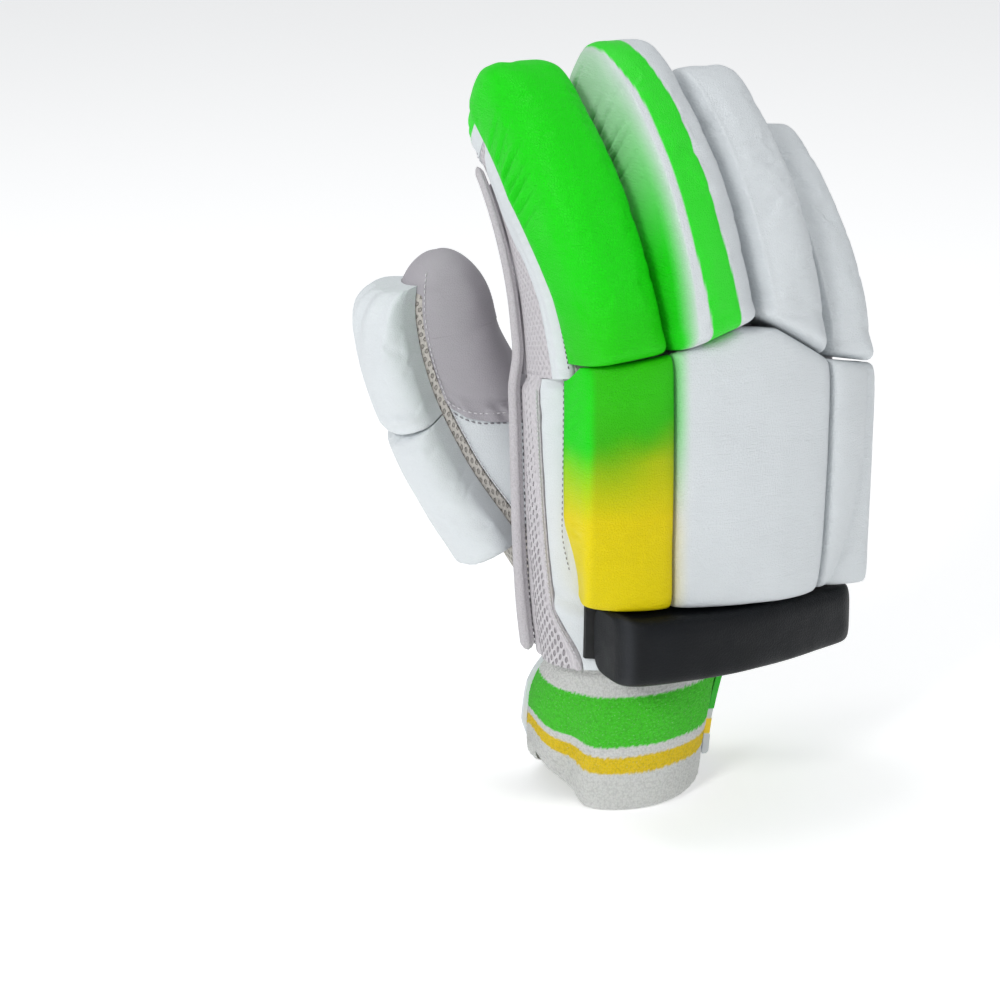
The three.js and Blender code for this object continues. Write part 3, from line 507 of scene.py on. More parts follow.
def meshMaterial(name, pitchX, pitchY, radius, diamond, dark, larger=None, thread=0.5, holeDepth=1.0,
                 slant=0.0):
    # open knit: two interleaved grids of holes, each painted dark near its centre as painted shade inside
    # the opening, and fine threads between; the painted alpha says how far the holes are open
    g = Graph(name, Roughness=0.85, Sheen_Weight=0.15, Sheen_Roughness=0.5)
    uv = g.coords.outputs["UV"]
    flat = g.stretch(g.stretch(uv, (1, 1, 0), slant), (1 / pitchX, 1 / pitchY, 0))
    distances = []
    for shift in (0.0, 0.5):
        cell = g.vector("FRACTION", g.vector("ADD", flat, (shift, shift, 0)))
        centred = g.vector("SUBTRACT", cell, (0.5, 0.5, 0))
        scaled = g.vector("MULTIPLY", centred, (pitchX / radius, pitchY / (radius * diamond), 0))
        distances.append(g.vector("LENGTH", scaled))
    distance = g.sum("MINIMUM", *distances)
    if larger is not None:
        # the holes shrink upwards between the two heights, to one part in the last number
        height = g.add("ShaderNodeSeparateXYZ", {0: g.coords.outputs["Object"]}).outputs["Z"]
        near = g.ramp(g.sum("DIVIDE", height, 0.3), [(larger[0] / 300, 0.0), (larger[1] / 300, 1.0)])
        distance = g.sum("MULTIPLY", distance, g.sum("ADD", g.sum("MULTIPLY", near, larger[2] - 1), 1.0))
    wobble = g.noise(g.stretch(uv, (1, 1, 0)), 1.4, 2)
    distance = g.sum("ADD", distance, g.sum("MULTIPLY", g.sum("SUBTRACT", wobble, 0.5), 0.7))
    hole = g.sum("MULTIPLY", g.ramp(distance, [(0.62, 1.0), (1.05, 0.0)]), g.paint("Alpha"))
    yarn = g.noise(g.stretch(uv, (1.0, 0.45, 0)), 1.6, 3)
    stitch = g.cells(g.stretch(uv, (1.25, 0.7, 0)), 1.0)
    threads = g.mix("MIX", 0.5, g.ramp(yarn, [(0.3, 0.0), (0.7, 1.0)]),
                    g.ramp(stitch, [(0.0, 1.0), (0.75, 0.0)]))
    base = g.mix("MULTIPLY", 1.0, g.paint(), g.ramp(threads, [(0.0, 0.80), (0.6, 1.0)]))
    normal = g.bump(threads, thread * 0.5)
    normal = g.bump(g.sum("SUBTRACT", 1.0, hole), holeDepth, under=normal)
    # the holes take the dark colour: painted shade in the openings
    return g.finish(g.mix("MIX", hole, base, linear(dark)), normal)


def knitMaterial(name, scale, depth=0.9, loopShadeLevel=0.8, flecks=0.2):
    # looped rows over the mapped surface, with painted shade between the loops, and pale ends here and
    # there
    g = Graph(name, Roughness=0.95, Specular_IOR_Level=0.2, Sheen_Weight=0.08, Sheen_Roughness=0.6)
    uv = g.coords.outputs["UV"]
    loops = g.cells(g.stretch(uv, (0.95 * scale, 0.8 * scale, 0)), 1.0, "F1", 0.75)
    small = g.noise(g.stretch(uv, (1, 1, 0)), 1.9 * scale, 4, 0.7)
    height = g.mix("MIX", 0.4, g.ramp(loops, [(0.0, 1.0), (0.8, 0.0)]),
                   g.ramp(small, [(0.3, 0.0), (0.7, 1.0)]))
    # painted shade: the colour darkens away from each loop's centre, where the relief is lowest
    paintedLoopShade = g.ramp(loops, [(0.42, 1.0), (0.9, loopShadeLevel)])
    grains = g.ramp(small, [(0.3, 0.92), (0.55, 1.0)])
    colour = g.mix("MULTIPLY", 1.0, g.mix("MULTIPLY", 1.0, g.paint(), paintedLoopShade), grains)
    if flecks:
        light = g.ramp(g.noise(g.stretch(uv, (1, 1, 0)), 1.35, 2), [(0.6, 0.0), (0.75, flecks)])
        colour = g.mix("MIX", light, colour, linear((240, 242, 236)))
    return g.finish(colour, g.bump(height, depth))


def threadMaterial(name, rough=0.6):
    g = Graph(name, Roughness=rough, Sheen_Weight=0.1)
    twist = g.noise(g.coords.outputs["Object"], 2600, 2)
    colour = g.mix("MULTIPLY", 1.0, g.paint(), g.ramp(twist, [(0.3, 0.75), (0.7, 1.0)]))
    return g.finish(colour, g.bump(twist, 0.08))


# the darker yellow is the index pad's yellow in painted shade, for its front face; olive also serves as
# painted shade on the green part of that face
colours = {key: linear(value) for key, value in dict(
    white=(216, 221, 224), lilac=(172, 168, 174), knit=(203, 199, 203), beige=(202, 197, 190),
    green=(26, 222, 16), olive=(60, 172, 0), yellow=(238, 218, 0), shadedYellow=(224, 204, 0),
    charcoal=(13, 16, 20), black=(16, 18, 20), cuffWhite=(240, 241, 238), cuffGreen=(76, 222, 42),
    cuffYellow=(255, 220, 28), dark=(52, 54, 58), paleThread=(216, 214, 218),
    greyThread=(136, 134, 140)).items()}

whiteLeather = leatherMaterial("whiteLeather", grain=1150, grainDepth=0.13, rough=0.46, lines=0.2)
softLeather = leatherMaterial("softWhiteLeather", grain=1200, grainDepth=0.06, foldDepth=0.5, rough=0.5)
lilacLeather = leatherMaterial("lilacLeather", grain=1300, grainDepth=0.06, foldDepth=0.5, rough=0.62,
                               mottle=0.1)
greenLeather = leatherMaterial("greenLeather", grain=1150, grainDepth=0.16, rough=0.42, lines=0.2,
                               Specular_IOR_Level=0.16)
charcoalLeather = leatherMaterial("charcoalLeather", rough=0.46, grainDepth=0.06, Specular_IOR_Level=0.18)
# each mesh's dark colour is the painted shade inside its holes
sideMesh = meshMaterial("sideMesh", 2.5, 5.4, 0.52, 2.9, (152, 147, 152), larger=(98, 150, 1.7), slant=0.35)
fingerMesh = meshMaterial("fingerMesh", 2.4, 3.4, 0.46, 1.5, (186, 181, 186), holeDepth=0.35)
hexMesh = meshMaterial("hexMesh", 3.3, 5.2, 0.95, 1.02, (160, 155, 148), thread=0.35)
# both knits carry painted shade between their loops, fainter on the folded knit
cuffKnit = knitMaterial("cuffKnit", scale=1.25)
foldedKnit = knitMaterial("foldedKnit", scale=1.7, depth=0.35, loopShadeLevel=0.86, flecks=0.0)
strapRubber = leatherMaterial("strapRubber", grain=1500, grainDepth=0.03, foldDepth=0.1, rough=0.4,
                              mottle=0.02)
thread = threadMaterial("thread")
webbing = threadMaterial("blackWebbing", 0.8)
print("materials made")


def evenAngles(low, high, count, power, aspect=1.0):
    # angles in degrees turned into radians that step evenly along a rounded-square arc
    dense = np.radians(spread(low, high, 6001))
    c, q = squircle(dense, power)
    length = np.concatenate([[0], np.cumsum(np.hypot(np.diff(c) * aspect, np.diff(q)))])
    return np.interp(spread(0, length[-1], count), length, dense)


def bell(x, width):
    return np.exp(-(x / width) ** 2)


cloth = dict(rows=56, columns=40, frames=20, pressure=4.0, tension=25, bending=1.5, grow=0.01, cap=0.7)


def filled(outer, cap=cloth["cap"]):
    # the padded skin as cloth, sewn down along its border and blown out by its filling; the fine
    # net then follows the coarse cloth, and no point moves further than the cap
    rows, cols = outer.shape[:2]
    r = np.unique(np.linspace(0, rows - 1, cloth["rows"]).astype(int))
    c = np.unique(np.linspace(0, cols - 1, cloth["columns"]).astype(int))
    coarse = outer[np.ix_(r, c)]
    ids = np.arange(len(r) * len(c)).reshape(len(r), len(c))
    faces = gridFaces(ids)
    i, j = len(r) // 2, len(c) // 2
    normal = np.cross(coarse[i, j + 1] - coarse[i, j - 1], coarse[i + 1, j] - coarse[i - 1, j])
    if normal @ (coarse[i, j] - coarse[i, [0, -1]].mean(axis=0)) < 0:
        faces = faces[:, ::-1]
    skin = bpy.data.meshes.new("skin")
    skin.from_pydata((coarse.reshape(-1, 3) * mm * 10).tolist(), [], faces.tolist())
    body = bpy.data.objects.new("skin", skin)
    bpy.context.scene.collection.objects.link(body)
    border = np.ones((len(r), len(c)), bool)
    border[1:-1, 1:-1] = False
    pins = body.vertex_groups.new(name="sewn")
    pins.add(ids[border].tolist(), 1.0, "REPLACE")
    modifier = body.modifiers.new("fill", "CLOTH")
    settings = modifier.settings
    settings.quality, settings.mass = 6, 0.3
    settings.tension_stiffness = settings.compression_stiffness = cloth["tension"]
    settings.shear_stiffness, settings.bending_stiffness = cloth["tension"] * 0.6, cloth["bending"]
    settings.use_pressure, settings.uniform_pressure_force = True, cloth["pressure"]
    settings.shrink_min = -cloth["grow"]
    settings.vertex_group_mass = "sewn"
    settings.effector_weights.gravity = 0
    modifier.collision_settings.use_collision = False
    scene = bpy.context.scene
    modifier.point_cache.frame_start, modifier.point_cache.frame_end = 1, cloth["frames"]
    for frameNumber in range(1, cloth["frames"] + 1):
        scene.frame_set(frameNumber)
    shaped = body.evaluated_get(bpy.context.evaluated_depsgraph_get()).to_mesh()
    places = np.empty(len(ids.ravel()) * 3)
    shaped.vertices.foreach_get("co", places)
    scene.frame_set(1)
    bpy.data.objects.remove(body)
    bpy.data.meshes.remove(skin)
    move = places.reshape(coarse.shape) / mm / 10 - coarse
    far = np.linalg.norm(move, axis=-1, keepdims=True)
    move = move * np.tanh(far / cap) * cap / np.maximum(far, 1e-9)
    across = np.stack([[np.interp(np.arange(cols), c, row[:, k]) for k in range(3)] for row in move])
    fine = np.stack([[np.interp(np.arange(rows), r, across[:, k, n]) for n in range(cols)]
                     for k in range(3)])
    return outer + fine.transpose(2, 1, 0)


sewing = dict(pitch=2.5, length=1.6, radius=0.27, arch=0.16, lift=0.05)


def sewOn(name, surface, colour, pitch=sewing["pitch"], size=1.0):
    # short capsules end to end along a line on a surface; surface(g) is the line raised by g
    path = surface(sewing["lift"]).reshape(-1, 3)
    outward = unit(surface(sewing["lift"] + 1.0).reshape(-1, 3) - path)
    along = np.concatenate([[0], np.cumsum(np.linalg.norm(np.diff(path, axis=0), axis=1))])
    spots = np.arange(pitch / 2, along[-1], pitch)
    read = lambda line, at: np.stack([np.interp(at, along, line[:, k]) for k in range(3)], -1)
    forward = unit(read(path, spots + 0.4) - read(path, spots - 0.4) + 1e-9)
    side = unit(np.cross(forward, read(outward, spots)))
    rise = np.cross(side, forward)
    s = np.array([-1, -0.72, 0, 0.72, 1])[None, :, None, None]
    thick = np.array([0, 0.8, 1, 0.8, 0])[None, :, None, None] * sewing["radius"] * size
    turn = spread(0, 2 * math.pi, 7)[None, None, :, None]
    middle, forward, side, rise = (v[:, None, None, :] for v in (read(path, spots), forward, side, rise))
    arch = sewing["arch"] * (1 - s ** 2)
    net = middle + forward * s * sewing["length"] / 2 * min(1.3, size)
    net = net + side * thick * np.cos(turn) + rise * (thick * np.sin(turn) + arch)
    ids = np.arange(net[..., 0].size).reshape(net.shape[:3])
    paint = np.broadcast_to([*colours[colour], 1.0], (ids.size, 4))
    mesh = meshFrom(name, net.reshape(-1, 3), gridFaces(ids), np.zeros((ids.size, 2)), paint, 80)
    addPiece(name, mesh, thread, extra=True)


# hand shell
panelLook = dict(power=2.5, aspect=1.9, tuck=0.9, tuckFrom=0.955, seamTurn=15, seamLean=8)
palmLook = dict(rows=180, columns=184, soft=0.5, hem=3.2, hole=0.9, holeDepth=1.1, pitch=5.5,
                below=((-1, 3.2), (0, 3.2), (1, 3.2), (-1.5, 4.1), (-0.5, 4.1), (0.5, 4.1)),
                oval=dict(x=36, z=112, wide=11, tall=21, dots=22), crease=0.55, creaseReach=22,
                creases=((0, 128, -0.5, 1), (8, 112, -0.35, 0.8), (18, 150, 0.15, 0.6),
                         (40, 146, -0.2, 0.5)))


def seamAngle(up):
    # the seam between the side mesh and the back leather swings out towards the wrist
    swing = panelLook["seamTurn"] * (smooth(0.24, 0.02, up) - 1)
    return hand["backIndex"] + swing + panelLook["seamLean"] * (1 - up)


def handPanel(low, high, rows, columns, wall, relief=None, top=1.0):
    # low and high are angles, or functions of the share up the hand; the top edge is tucked in
    up = spread(0, top, rows)[:, None]
    edge = math.degrees(gap / hand["back"])
    first, last = (side(up) if callable(side) else side for side in (low, high))
    share = evenAngles(np.mean(first), np.mean(last), columns, panelLook["power"], panelLook["aspect"])
    share = ((share - share[0]) / (share[-1] - share[0]))[None, :]
    angle = np.radians(lerp(first + edge, last - edge, share))
    flat = handPoint(angle, up)
    grow = relief(angle, up, flat) if relief else np.zeros(flat.shape[:2])
    grow = grow - panelLook["tuck"] * wall * smooth(panelLook["tuckFrom"], 1.0, up)
    return flat, handPoint(angle, up, grow), handPoint(angle, up, -wall), angle


def palmRelief(angle, up, p):
    # broad soft waves, creases that bow across the palm, and the groove of the hem
    x, z = p[..., 0], p[..., 2]
    grow = palmLook["soft"] * ripple(x, z, 46, 1) * smooth(0, 0.12, up) * smooth(1.0, 0.9, up)
    for x0, z0, turn, size in palmLook["creases"]:
        along = (x - x0) * math.cos(turn) + (z - z0) * math.sin(turn)
        off = -(x - x0) * math.sin(turn) + (z - z0) * math.cos(turn) + 0.012 * along ** 2
        fold = 0.3 * bell(off - 5, 4) - palmLook["crease"] * bell(off, 2.2)
        grow = grow + size * fold * bell(along, palmLook["creaseReach"])
    rim = np.minimum(angle - angle.min(), angle.max() - angle)
    grow = grow - 0.5 * bell(z - hand["low"] - palmLook["hem"], 0.8)
    return grow * smooth(0, 0.06, rim)


def palmHoles():
    # two staggered rows of three below each finger, and an upright oval of dots on the heel
    pitch, oval = palmLook["pitch"], palmLook["oval"]
    spots = [(f["middle"] + k * pitch, f["foot"] - drop * pitch)
             for f in fingers for k, drop in palmLook["below"]]
    turn = spread(0, 2 * math.pi, oval["dots"] + 1)[:-1]
    return spots + list(zip(oval["x"] + oval["wide"] * np.cos(turn),
                            oval["z"] + oval["tall"] * np.sin(turn)))


def palmPanel():
    flat, outer, inner, angle = handPanel(hand["palmLittle"], hand["palmIndex"], palmLook["rows"],
                                          palmLook["columns"], walls["leather"], palmRelief)
    x, z = flat[..., 0], flat[..., 2]
    dots = np.zeros(x.shape)
    for x0, z0 in palmHoles():
        near = np.hypot(x - x0, z - z0) / palmLook["hole"]
        dots = np.maximum(dots, smooth(1.15, 0.6, near))
    outer[..., 1] -= dots * palmLook["holeDepth"]
    tone = colours["lilac"] * (1 + 0.05 * ripple(x, z, 30, 3))[..., None]
    # the perforations are pressed in and painted dark: painted shade inside the holes
    tint = lerp(tone, colours["dark"] * 0.5, dots[..., None])
    addWall("palmLeather", outer, inner, tint, lilacLeather)


backLook = dict(rows=150, columns=150, knuckle=0.54, strip=(-12, -34))


def backRelief(angle, up, p):
    # creases that fan out from the index knuckle, and a soft fold lower down the strip
    x, z = p[..., 0], p[..., 2]
    fan = np.sin((z - 172) * 0.62 + x * 0.35) * bell(z - 170, 9)
    fan = fan + 0.6 * np.sin((z - 160) * 0.5 - x * 0.5) * bell(z - 156, 8)
    low = bell(z - 84 + (x + 40) * 0.4, 3) * 0.7 - bell(z - 90 + (x + 40) * 0.5, 2.4) * 0.5
    return smooth(*backLook["strip"], x) * (backLook["knuckle"] * fan + low) + 0.12 * ripple(x, z, 18, 2)


def backPanel():
    flat, outer, inner, angle = handPanel(seamAngle, hand["backLittle"], backLook["rows"],
                                          backLook["columns"], walls["leather"], backRelief)
    addWall("backLeather", outer, inner, colours["white"], softLeather)


sideLook = dict(rows=150, columns=60, rib=1.0, channel=0.7, over=1.012, open=((3.5, 6.5), (6.5, 9.5)),
                top=0.35)


def fromSides(angle):
    # degrees from the first and from the last column
    return np.degrees(angle - angle[:, :1]), np.degrees(angle[:, -1:] - angle)


def sideRelief(angle, up, p):
    # a stitched rib along the back edge and a channel beside the piping
    near, far = fromSides(angle)
    rib = sideLook["rib"] * bell(far - 2.6, 1.6) - 0.3 * bell(far - 6, 1.5)
    return rib - sideLook["channel"] * bell(near - 6, 3) - 0.12 * ripple(p[..., 0], p[..., 2], 9, 2)


def sidePanels():
    # on the index side the holes close towards both seams and grow fainter upwards
    rows, columns = sideLook["rows"], sideLook["columns"]
    flat, outer, inner, angle = handPanel(hand["palmIndex"], seamAngle, rows, columns, walls["mesh"],
                                          sideRelief, sideLook["over"])
    near, far = fromSides(angle)
    openness = smooth(*sideLook["open"][0], near) * smooth(*sideLook["open"][1], far)
    openness = openness * lerp(sideLook["top"], 1, smooth(168, 120, flat[..., 2]))
    addWall("indexSideMesh", outer, inner, colours["knit"], sideMesh, openness=openness)
    low = hand["backLittle"] - 360
    flat, outer, inner, angle = handPanel(low, hand["palmLittle"], rows, columns, walls["mesh"])
    addWall("littleSideMesh", outer, inner, colours["knit"], sideMesh)


def tubeMesh(name, net, colour):
    # rings that close on themselves and on their two end points
    ends = [np.broadcast_to(net[k].mean(axis=0), net[k].shape) for k in (0, -1)]
    full = np.concatenate([ends[0][None], net, ends[1][None]])
    ids = np.arange(full[..., 0].size).reshape(full.shape[:2])
    tint = np.broadcast_to(colour, net.shape)
    tint = np.concatenate([tint[:1], tint, tint[-1:]]).reshape(-1, 3)
    paint = np.concatenate([tint, np.ones((len(tint), 1))], axis=1)
    return meshFrom(name, full.reshape(-1, 3), gridFaces(ids), arcMap(full).reshape(-1, 2), paint, 60)


pipingLook = dict(radius=2.4, tip=0.6, leather=156, groove=0.3, grooveTurn=0.62 * math.pi)


def pipe(name, points, radii, count, material, colour, rows):
    # a ring of points carried along a line, with a sewn groove pressed in on one side
    t = spread(0, 1, rows)
    line = linePoint(points, t)
    along = unit(np.gradient(line, axis=0))
    across = unit(np.cross(along, np.array([0, 1.0, 0])))
    deep = np.cross(along, across)
    turn = spread(0, 2 * math.pi, count + 1)
    groove = 1 - pipingLook["groove"] * bell(np.abs(turn - pipingLook["grooveTurn"]), 0.3)
    radius = np.interp(t, [0, 1], radii)[:, None] * groove
    radius = radius * np.sqrt(np.clip(np.minimum(t, 1 - t)[:, None] * rows / 3, 0.0, 1))
    net = line[:, None] + across[:, None] * (radius * np.cos(turn))[..., None]
    net = net + deep[:, None] * (radius * np.sin(turn))[..., None]
    addPiece(name, tubeMesh(name, net, colour), material)


def pipings():
    # the index side's piping runs on from the hand up the side of the finger
    radiusAt = lambda share: pipingLook["radius"] * lerp(1, pipingLook["tip"], share) + seatGap
    share, t = spread(0.01, 0.97, 11), spread(0.06, 0.76, 9)
    onHand = handPoint(math.radians(hand["palmIndex"]), share, radiusAt(share / 2))
    onFinger = fingerPoint(fingers[0], math.radians(pipingLook["leather"]), t, radiusAt((1 + t) / 2))
    pipe("palmPipingIndex", np.vstack([onHand, onFinger]), (2.7, 1.6), 24, foldedKnit, colours["knit"], 170)
    onHand = handPoint(math.radians(hand["palmLittle"]), spread(0.01, 0.98, 14), radiusAt(0))
    pipe("palmPipingLittle", onHand, (2.3, 2.4), 20, lilacLeather, colours["lilac"] * 0.9, 120)


palmPanel()
backPanel()
sidePanels()
pipings()
print("hand shell made")


# fingers
fingerLook = dict(rows=110, columns=150, aspect=0.8)


def fingerStall(f):
    # the mesh tube round the finger, open at the foot and at the fingertip cap
    angle = evenAngles(0, 360, fingerLook["columns"], fingerSizes["stallPower"], fingerLook["aspect"])
    angle = angle[None, :]
    t = spread(0, fingerSizes["stallEnd"], fingerLook["rows"])[:, None]
    addWall(f["name"] + "FingerMesh", fingerPoint(f, angle, t), fingerPoint(f, angle, t, -walls["mesh"]),
            colours["knit"], fingerMesh)


tongueLook = dict(end=0.745, bend=0.14, half=64, waist=20, waistAt=0.36, base=0.9, rim=0.7, under=0.15,
                  creases=((0.2, 0.5), (0.34, 0.9), (0.375, 0.7), (0.56, 0.8), (0.6, 0.4)))


def tongueHalf(t):
    # half angle of the leather tongue: a waist at the middle joint, and a round end
    body = tongueLook["half"] - tongueLook["waist"] * bell(t - tongueLook["waistAt"], 0.12)
    into = np.clip((t - tongueLook["end"] + tongueLook["bend"]) / tongueLook["bend"], 0, 1)
    return body * np.sqrt(np.clip(1 - into ** 2, 0, 1))


def fingerTongue(f):
    # leather on the palm side with a turned rim, a row of stitching and creases at the joints
    end, bend = tongueLook["end"], tongueLook["bend"]
    t = np.concatenate([spread(0, end - bend, 70)[:-1],
                        end - bend + bend * np.sin(spread(0, math.pi / 2, 26))])[:, None]
    across = spread(-1, 1, 70)[None, :]
    half = np.radians(tongueHalf(t))
    angle = math.pi / 2 + across * half
    span = np.minimum((1 - np.abs(across)) * half * f["width"] / 2, (end - t) * f["length"])
    grow = tongueLook["base"] + tongueLook["rim"] * bell(span - 1.1, 0.9) - 0.35 * bell(span - 3.4, 0.5)
    grow = grow * np.clip(span / 0.5, 0.3, 1)
    crease = sum(bell(t - at, 0.012) * size for at, size in tongueLook["creases"])
    grow = grow - crease * bell(across, 0.7)
    # the creases are also painted darker: painted shade in the folds
    addWall(f["name"] + "FingerLeather", fingerPoint(f, angle, t, grow),
            fingerPoint(f, angle, t, tongueLook["under"]),
            colours["lilac"] * (1 - 0.1 * crease[..., None]), lilacLeather)


capLook = dict(low=0.785, domeFrom=0.86, columns=161, base=0.5, gather=0.45, green=(0.852, 0.858))


def fingerCap(f):
    # white band and closed dome; shallow gathers run up from the band
    dome = capLook["domeFrom"]
    t = np.concatenate([spread(capLook["low"], dome, 26)[:-1],
                        dome + (1 - dome) * np.sin(spread(0, math.pi / 2, 40))])
    t = t[:, None]
    angle = evenAngles(0, 360, capLook["columns"], fingerSizes["stallPower"], fingerLook["aspect"])[None, :]
    gathers = np.sin(angle * 17 + 1.5 * np.sin(angle * 3)) * smooth(0.875, 0.91, t) * smooth(1.0, 0.95, t)
    grow = capLook["base"] + capLook["gather"] * gathers
    grow = grow - 0.5 * bell(t - 0.872, 0.006) + 0.25 * bell(t - 0.855, 0.012)
    outer = fingerPoint(f, angle, t, grow)
    inner = fingerPoint(f, angle, np.minimum(t, 1 - walls["leather"] / f["length"]), -walls["leather"])
    tint = colours["white"]
    if f["name"] == "index":
        tint = lerp(tint, colours["green"], smooth(*capLook["green"], t)[..., None])
    addWall(f["name"] + "FingertipCap", outer, inner, tint, softLeather)


# folds are listed as share along the finger, depth and slope
rollLook = dict(rows=146, columns=106, power=5.0, aspect=0.8, tipAt=0.76, pleats=0.8, foot=0.70,
                footReach=0.036, ridge=0.6, side=12.1, lean=0.05,
                drop=dict(index=0.10, middle=0.44, ring=0.32, little=0.28),
                ledge=((0, 0.2, 0.4, 0.55, 0.8, 1), (57.6, 47, 28, 15, 11, 11)))
rollFolds = dict(index=[(0.44, 0.5, 5), (0.485, 0.7, 4), (0.52, 1.2, 6), (0.56, 0.9, 3), (0.60, 1.3, 6),
                        (0.66, 0.6, 8), (0.72, 0.4, 6)],
                 middle=[(0.5, 0.6, 6), (0.56, 1.2, 8), (0.60, 0.8, 6), (0.66, 1.1, 9), (0.72, 0.5, 6),
                         (0.86, 0.8, 3)],
                 others=[(0.1, 0.4, 5), (0.55, 0.4, 8), (0.62, 0.5, 6), (0.7, 0.3, 8)])
stripe = dict(low=-0.55, high=0.20, edge=0.012, swing=0.22, ridge=-0.74)


def stripeAt(side, t):
    # the band leans towards the thumb near the tip
    return stripe[side] - stripe["swing"] * smooth(0.6, 0.9, t) + 0.12 * smooth(0.3, 0, t)


def ridgeAt(f):
    return stripe["ridge"] if f["name"] == "middle" else -1 + 2 * f["ridge"]


def crestShare(f, c):
    # share of the height over the width: full at the ridge, curving down to the wall at the left
    # of it and nearly level at the right
    mid = ridgeAt(f)
    left = np.clip((mid - c) / (mid + 1), 0, 1)
    right = np.clip((c - mid) / (1 - mid), 0, 1)
    return np.where(c < mid, 1 - rollLook["drop"][f["name"]] * left ** 1.4,
                    1 - rollLook["lean"] * right ** 2)


def ledgeTurn(f, t):
    # how far round from the side the roll's left edge lies, in degrees: the ledge narrows upwards
    return np.interp(t, *rollLook["ledge"]) if f["ledge"] else rollLook["side"] + 0 * t


def rollWaves(f, c, q, t, across, middle):
    # the roll's small relief: fanned folds at the tip, folds where the skin is drawn in at the foot,
    # the ridge, soft waves, and a groove along each edge of the band
    length = t * f["length"]
    tips = np.sin(c * 15 + 1.2 * np.sin(c * 5)) * smooth(0.905, 0.955, t) * 0.7
    tips = tips + ripple(c * 14, length, 9, 4) * 0.5 * smooth(0.85, 0.93, t)
    foot = bell(length - 4.5 - 3.5 * (1 + c), 1.5) * bell(c + 0.2, 0.55)
    foot = foot + 0.6 * bell(length - 9 - 5 * (1 - c), 1.8) * bell(c - 0.5, 0.4)
    ridge = rollLook["ridge"] * bell(c - middle, 0.07) * smooth(0.02, 0.1, t) * smooth(0.95, 0.8, t)
    rise = tips * q - 0.4 * foot * (q > 0.5) + ridge * (q > 0.3)
    rise = rise + 0.2 * ripple(across, length, 20, 2 + f["ridge"] * 9) * q
    rise = rise + 0.07 * ripple(across * 0.35, length, 4.2, 3) * q
    if f["name"] == "middle":
        for edge in ("low", "high"):
            rise = rise - 0.3 * bell(c - stripeAt(edge, t), 0.025) * smooth(0, 0.02, t)
    return rise


def sideFolds(f, q, t):
    # gathers along the seam at the thumb side, each a raised fold between two hollows
    wave = 0
    for at, size, slope in rollFolds.get(f["name"], rollFolds["others"]):
        off = (t - at) * f["length"] - slope * q
        fold = 1.3 * bell(off, 1.0) - 0.6 * bell(off - 2.4, 1.3) - 0.5 * bell(off + 2.2, 1.2)
        wave = wave + size * fold
    return wave


def fingerRoll(f):
    # a padded bar on the back of the finger: rounded-square profile over the stall, closed foot,
    # drawn in to the tip; the left edge of the profile is at angle 180
    tipAt, end, reach = rollLook["tipAt"], fingerSizes["rollEnd"], rollLook["footReach"]
    t = np.concatenate([spread(0, 1, 9)[:-1] ** 1.6 * reach, spread(reach, tipAt, rollLook["rows"])[:-1],
                        tipAt + (end - tipAt) * np.sin(spread(0, math.pi / 2, 46))])[:, None]
    turn = evenAngles(0, 180, rollLook["columns"], rollLook["power"], rollLook["aspect"])[None, :]
    fr = fingerFrame(f, t * np.ones(turn.shape))
    share = tipShare(t, fingerSizes["capStart"])
    foot = lerp(rollLook["foot"], 1, np.sqrt(1 - (1 - np.minimum(t / reach, 1)) ** 2))
    tip = np.sqrt(np.maximum(0.03, 1 - np.maximum(0, (t - tipAt) / (end - tipAt)) ** 2.4))
    halfDepth = (fr["depth"] / 2 + seatGap) * share
    halfWidth = (fr["width"] / 2 + seatGap) * share
    top = halfDepth + fr["roll"] * foot * tip - seatGap
    sideAngle, ledgeAngle = math.radians(rollLook["side"]), np.radians(ledgeTurn(f, t))
    underC, underQ = squircle(lerp(sideAngle, math.pi - ledgeAngle, turn / math.pi),
                              fingerSizes["stallPower"])
    right = underC[:, :1] * halfWidth + fingerSizes["overlap"]
    left = underC[:, -1:] * halfWidth - fingerSizes["overlap"]
    c, q = (part * np.ones(t.shape) for part in squircle(turn, rollLook["power"]))
    level = lerp(underQ[:, -1:] * halfDepth, underQ[:, :1] * halfDepth, (c + 1) / 2)
    q = q * lerp(1, crestShare(f, c), smooth(0.0, 0.08, t))
    across = lerp(left, right, (c + 1) / 2)
    near = smooth(0.95, 0.25, q) * smooth(0.0, 0.14, q) * (c < ridgeAt(f))
    rise = level + q * (top - level) + rollWaves(f, c, q, t, across, ridgeAt(f))

    def place(sideways, up):
        p = fr["centre"] + fr["outward"] * up[..., None]
        p[..., 0] += sideways
        return seatFoot(f, p, t, "knuckle")

    outer = filled(place(across + rollLook["pleats"] * near * sideFolds(f, q, t), rise))
    inner = place(underC * halfWidth, underQ * halfDepth)
    addWall(f["name"] + "Roll", outer, inner, rollPaint(f, c, q, t),
            greenLeather if f["name"] == "index" else whiteLeather, fill=0.85, sharp=70)


def rollPaint(f, c, q, t):
    # green roll; on the next one a sprayed left slope and a green band; the others stay white
    if f["name"] == "index":
        return lerp(colours["green"], colours["olive"], (0.25 * smooth(0.25, 0.0, t))[..., None])
    if f["name"] != "middle":
        return colours["white"]
    mid, edge = ridgeAt(f), stripe["edge"]
    spray = smooth(mid + 0.06, -1.0, c - 0.5 * (1 - q) * (c < mid)) * lerp(1.0, 0.3, smooth(0.2, 0.8, t))
    tint = lerp(colours["white"], colours["green"], spray[..., None])
    band = smooth(-edge, edge, c - stripeAt("low", t)) * smooth(edge, -edge, c - stripeAt("high", t))
    return lerp(tint, colours["green"], band[..., None])


weltLook = dict(rows=150, columns=24, height=0.8, wide=34, over=5)


